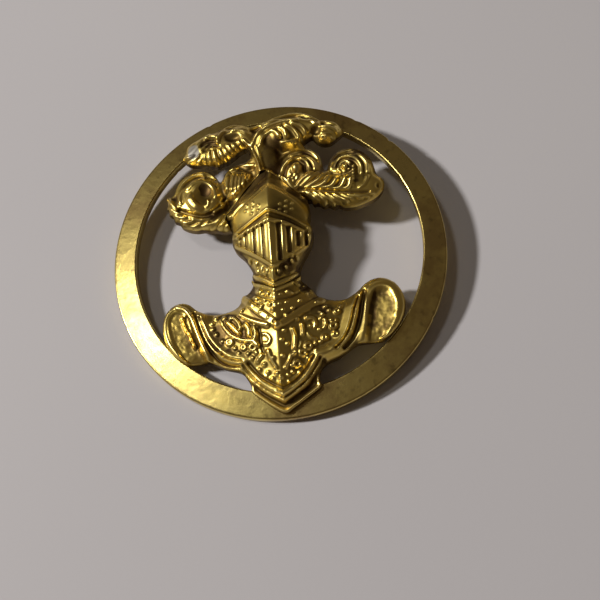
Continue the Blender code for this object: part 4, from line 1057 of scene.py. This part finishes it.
class Shader:
    """A short way to write a node material."""

    def __init__(self, name, roughness, metallic=1.0):
        self.mat = bpy.data.materials.new(name)
        self.mat.use_nodes = True
        self.tree = self.mat.node_tree
        self.bsdf = self.tree.nodes["Principled BSDF"]
        self.bsdf.inputs["Roughness"].default_value = roughness
        self.bsdf.inputs["Metallic"].default_value = metallic

    def node(self, kind, **settings):
        new = self.tree.nodes.new(kind)
        for key, value in settings.items():
            setattr(new, key, value)
        return new

    def link(self, source, target):
        self.tree.links.new(source, target)

    def noise(self, scale, detail=4.0, rough=0.55):
        place = self.node("ShaderNodeTexCoord")
        new = self.node("ShaderNodeTexNoise")
        new.inputs["Scale"].default_value = scale
        new.inputs["Detail"].default_value = detail
        new.inputs["Roughness"].default_value = rough
        self.link(place.outputs["Object"], new.inputs["Vector"])
        return new.outputs["Fac"]

    def attribute(self, name):
        return self.node("ShaderNodeAttribute", attribute_name=name).outputs["Fac"]

    def span(self, value, low, high, to_low=0.0, to_high=1.0):
        new = self.node("ShaderNodeMapRange", clamp=True)
        self.link(value, new.inputs["Value"])
        for label, number in (("From Min", low), ("From Max", high), ("To Min", to_low),
                              ("To Max", to_high)):
            new.inputs[label].default_value = number
        return new.outputs["Result"]

    def math(self, kind, a, b):
        new = self.node("ShaderNodeMath", operation=kind)
        for socket, value in zip(new.inputs, (a, b)):
            if isinstance(value, (int, float)):
                socket.default_value = value
            else:
                self.link(value, socket)
        return new.outputs[0]

    def blend(self, factor, a, b):
        new = self.node("ShaderNodeMix", data_type="RGBA")
        self.link(factor, new.inputs["Factor"])
        for socket, value in ((new.inputs[6], a), (new.inputs[7], b)):
            if isinstance(value, tuple):
                socket.default_value = (*value, 1.0)
            else:
                self.link(value, socket)
        return new.outputs[2]

    def bump(self, height, strength, distance):
        new = self.node("ShaderNodeBump")
        new.inputs["Strength"].default_value = strength
        new.inputs["Distance"].default_value = distance
        self.link(height, new.inputs["Height"])
        self.link(new.outputs["Normal"], self.bsdf.inputs["Normal"])


GOLD = (0.83, 0.625, 0.15)
DEEP_GOLD = (0.72, 0.50, 0.13)
WORN_GOLD = (0.90, 0.71, 0.25)
PALE_GOLD = (0.80, 0.63, 0.20)
AMBER = (0.62, 0.44, 0.14)
OLIVE = (0.42, 0.33, 0.11)
BROWN = (0.38, 0.24, 0.09)
# Dark brown for tarnish, and for painted shade on the relief
TARNISH_AND_SHADE = (0.105, 0.062, 0.024)
BARE = (0.40, 0.37, 0.31)
BRASS = (0.70, 0.52, 0.22)
DULL_BRASS = (0.40, 0.27, 0.10)
STEEL = (0.58, 0.56, 0.52)
DULL_STEEL = (0.33, 0.28, 0.22)
PAPER = (0.60, 0.575, 0.575)
PAPER_SHADE = (0.57, 0.545, 0.55)


def relief_material():
    """Bright gilt, darkened by patina and painted shade in the recesses and fine lines, and polished on the
    high points.
    """
    sh = Shader("gilt_relief", 0.32)
    crisp = sh.attribute("crisp")
    bare = sh.attribute("bare")
    # Patina and painted shade in the hollows and fine lines, lowered where highlights are painted
    shade_and_tarnish = sh.span(sh.attribute("hollow_shade_and_tarnish"), -0.05, 0.65)
    lines = sh.span(crisp, 0.1, 1.0)
    tarnish_and_painted_light = sh.math("MAXIMUM", sh.math("MULTIPLY", shade_and_tarnish, 0.95), sh.math("MULTIPLY", lines, 0.8))
    tarnish_and_painted_light = sh.math("MULTIPLY", tarnish_and_painted_light, sh.span(sh.noise(420.0), 0.35, 0.65, 0.75, 1.1))
    polish = sh.span(crisp, -0.9, -0.15, 1.0, 0.0)
    base = sh.blend(sh.span(sh.noise(160.0), 0.4, 0.7), GOLD, DEEP_GOLD)
    base = sh.blend(sh.math("MULTIPLY", polish, 0.6), base, WORN_GOLD)
    base = sh.blend(tarnish_and_painted_light, base, TARNISH_AND_SHADE)
    sh.link(sh.blend(bare, base, BARE), sh.bsdf.inputs["Base Color"])
    dull = sh.span(tarnish_and_painted_light, 0.0, 1.0, 0.32, 0.52)
    rough = sh.math("MAXIMUM", dull, sh.span(bare, 0.0, 1.0, 0.3, 0.62))
    sh.link(rough, sh.bsdf.inputs["Roughness"])
    sh.bump(sh.noise(2600.0, 3.0), 0.25, 0.00005)
    return sh.mat


def ring_material():
    """Satin gilt with brown and green tarnish that comes and goes round the band."""
    sh = Shader("gilt_ring", 0.25)
    mottle = sh.span(sh.noise(230.0, 6.0, 0.65), 0.42, 0.66)
    broad = sh.span(sh.noise(55.0, 2.0), 0.38, 0.62)
    base = sh.blend(sh.math("MULTIPLY", mottle, 0.6), PALE_GOLD, OLIVE)
    base = sh.blend(sh.math("MULTIPLY", broad, 0.35), base, AMBER)
    stains = sh.span(sh.noise(170.0, 5.0, 0.65), 0.49, 0.62)
    base = sh.blend(sh.math("MULTIPLY", stains, 0.55), base, BROWN)
    specks = sh.span(sh.noise(1000.0, 3.0, 0.6), 0.57, 0.7)
    base = sh.blend(sh.math("MULTIPLY", specks, 0.4), base, TARNISH_AND_SHADE)
    sh.link(base, sh.bsdf.inputs["Base Color"])
    sh.link(sh.span(mottle, 0.0, 1.0, 0.23, 0.28), sh.bsdf.inputs["Roughness"])
    sh.bump(sh.noise(1000.0, 4.0, 0.6), 0.22, 0.00007)
    return sh.mat


def plain_metal(name, roughness, colours, blotches, polish, grain):
    """Metal without gilt: darker blotches, an uneven polish and a fine grain.

    blotches has the scale and the span of its noise, polish the scale and the roughness that it runs
    between, and grain the scale, strength and depth of the bump.
    """
    sh = Shader(name, roughness)
    scale, low, high = blotches
    base = sh.blend(sh.span(sh.noise(scale, 5.0), low, high), *colours)
    sh.link(base, sh.bsdf.inputs["Base Color"])
    scale, low, high = polish
    sh.link(sh.span(sh.noise(scale), 0.35, 0.7, low, high), sh.bsdf.inputs["Roughness"])
    scale, strength, depth = grain
    sh.bump(sh.noise(scale, 3.0), strength, depth)
    return sh.mat


def paper_material():
    """Matt paper that is clear from below, so the badge's back can be seen."""
    sh = Shader("paper", 0.85, metallic=0.0)
    base = sh.blend(sh.span(sh.noise(9.0, 2.0), 0.3, 0.7), PAPER, PAPER_SHADE)
    sh.link(base, sh.bsdf.inputs["Base Color"])
    sh.bump(sh.noise(1800.0, 2.0), 0.1, 0.00005)
    mix = sh.node("ShaderNodeMixShader")
    sh.link(sh.node("ShaderNodeNewGeometry").outputs["Backfacing"], mix.inputs[0])
    sh.link(sh.bsdf.outputs[0], mix.inputs[1])
    sh.link(sh.node("ShaderNodeBsdfTransparent").outputs[0], mix.inputs[2])
    sh.link(mix.outputs[0], sh.tree.nodes["Material Output"].inputs["Surface"])
    return sh.mat


# ---- stage ------------------------------------------------------------------------------------

FLOOR = (0.944, -0.0332, -0.0735)            # the paper's height in mm: level, slope in x, slope in y
FLOOR_REACH = 600.0
LAMP_AWAY = 0.9                              # metres from the badge
# Each lamp: its direction, the width of its disc in metres, its power and its colour
LAMPS = {
    "key": ((-0.73, 0.10, 0.67), 0.09, 6.6, (1.0, 0.985, 0.98)),
    "soft": ((-0.33, 0.25, 0.91), 0.12, 0.75, (1.0, 0.99, 0.96)),
}
ROOM_LIGHT = (0.080, 0.062, 0.046, 1.0)
CAMERA_BACK = (0.0890, -0.3320, 0.9391)      # from what it looks at, back to the camera
CAMERA_ROLL = 19.8
LENS = 60.0


def make_floor(mat):
    reach = FLOOR_REACH
    corners = []
    for x, y in ((-reach, -reach), (reach, -reach), (reach, reach), (-reach, reach)):
        corners.append(Vector((x, y, FLOOR[0] + FLOOR[1] * x + FLOOR[2] * y)) * MM)
    mesh = bpy.data.meshes.new("paper")
    mesh.from_pydata(corners, [], [(0, 1, 2, 3)])
    mesh.materials.append(mat)
    floor = bpy.data.objects.new("paper", mesh)
    bpy.context.collection.objects.link(floor)


def make_lights():
    for name, (toward, size, power, colour) in LAMPS.items():
        lamp = bpy.data.lights.new(name, "AREA")
        lamp.shape = "DISK"
        lamp.size = size
        lamp.energy = power
        lamp.color = colour
        obj = bpy.data.objects.new(name, lamp)
        bpy.context.collection.objects.link(obj)
        way = Vector(toward).normalized()
        obj.location = way * LAMP_AWAY
        obj.rotation_euler = way.to_track_quat("Z", "Y").to_euler()
    world = bpy.data.worlds.new("room")
    world.use_nodes = True
    world.node_tree.nodes["Background"].inputs["Color"].default_value = ROOM_LIGHT
    bpy.context.scene.world = world


def make_camera():
    data = bpy.data.cameras.new("camera")
    data.lens = LENS
    data.sensor_width = 36.0
    data.clip_start = 0.005
    obj = bpy.data.objects.new("camera", data)
    bpy.context.collection.objects.link(obj)
    back = Vector(CAMERA_BACK).normalized()
    level = Vector((0, 0, 1)).cross(back).normalized()
    upright = back.cross(level)
    c, s = math.cos(math.radians(CAMERA_ROLL)), math.sin(math.radians(CAMERA_ROLL))
    side = c * level - s * upright
    up = s * level + c * upright
    place = Matrix((side, up, back)).transposed().to_4x4()
    place.translation = (Vector(EYE) + Vector((0, 0, FACE_Z))) * MM
    obj.matrix_world = place
    bpy.context.scene.camera = obj


def dress(node, mat):
    """Give a CAD node a better material."""
    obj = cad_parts[node]
    obj.data.materials.clear()
    obj.data.materials.append(mat)


def build():
    gilt = relief_material()
    helm = Relief(HELM_OUTLINE, HELM_RIM)
    crest = Relief(CREST_OUTLINE, CREST_RIM, beside=helm)
    plate = Relief(CUIRASS_OUTLINE, CUIRASS_RIM, beside=helm)
    helm.join(crest, plate)
    make_helm(gilt, helm)
    make_crest(gilt, crest, helm)
    make_cuirass(gilt, plate)
    make_ring(ring_material())
    brass = plain_metal("plain_brass", 0.4, (BRASS, DULL_BRASS), (300.0, 0.4, 0.65), (700.0, 0.32, 0.5),
                        (2200.0, 0.3, 0.00006))
    for node in ("brooch_bar", "hinge_bracket", "hinge_rivet", "catch_housing", "catch_rotor"):
        dress(node, brass)
    steel = plain_metal("pin_steel", 0.3, (STEEL, DULL_STEEL), (500.0, 0.45, 0.7), (900.0, 0.25, 0.42),
                        (2600.0, 0.2, 0.00004))
    dress("pin_wire", steel)
    make_floor(paper_material())
    make_lights()
    make_camera()
    bpy.context.scene.view_settings.view_transform = "Standard"


build()
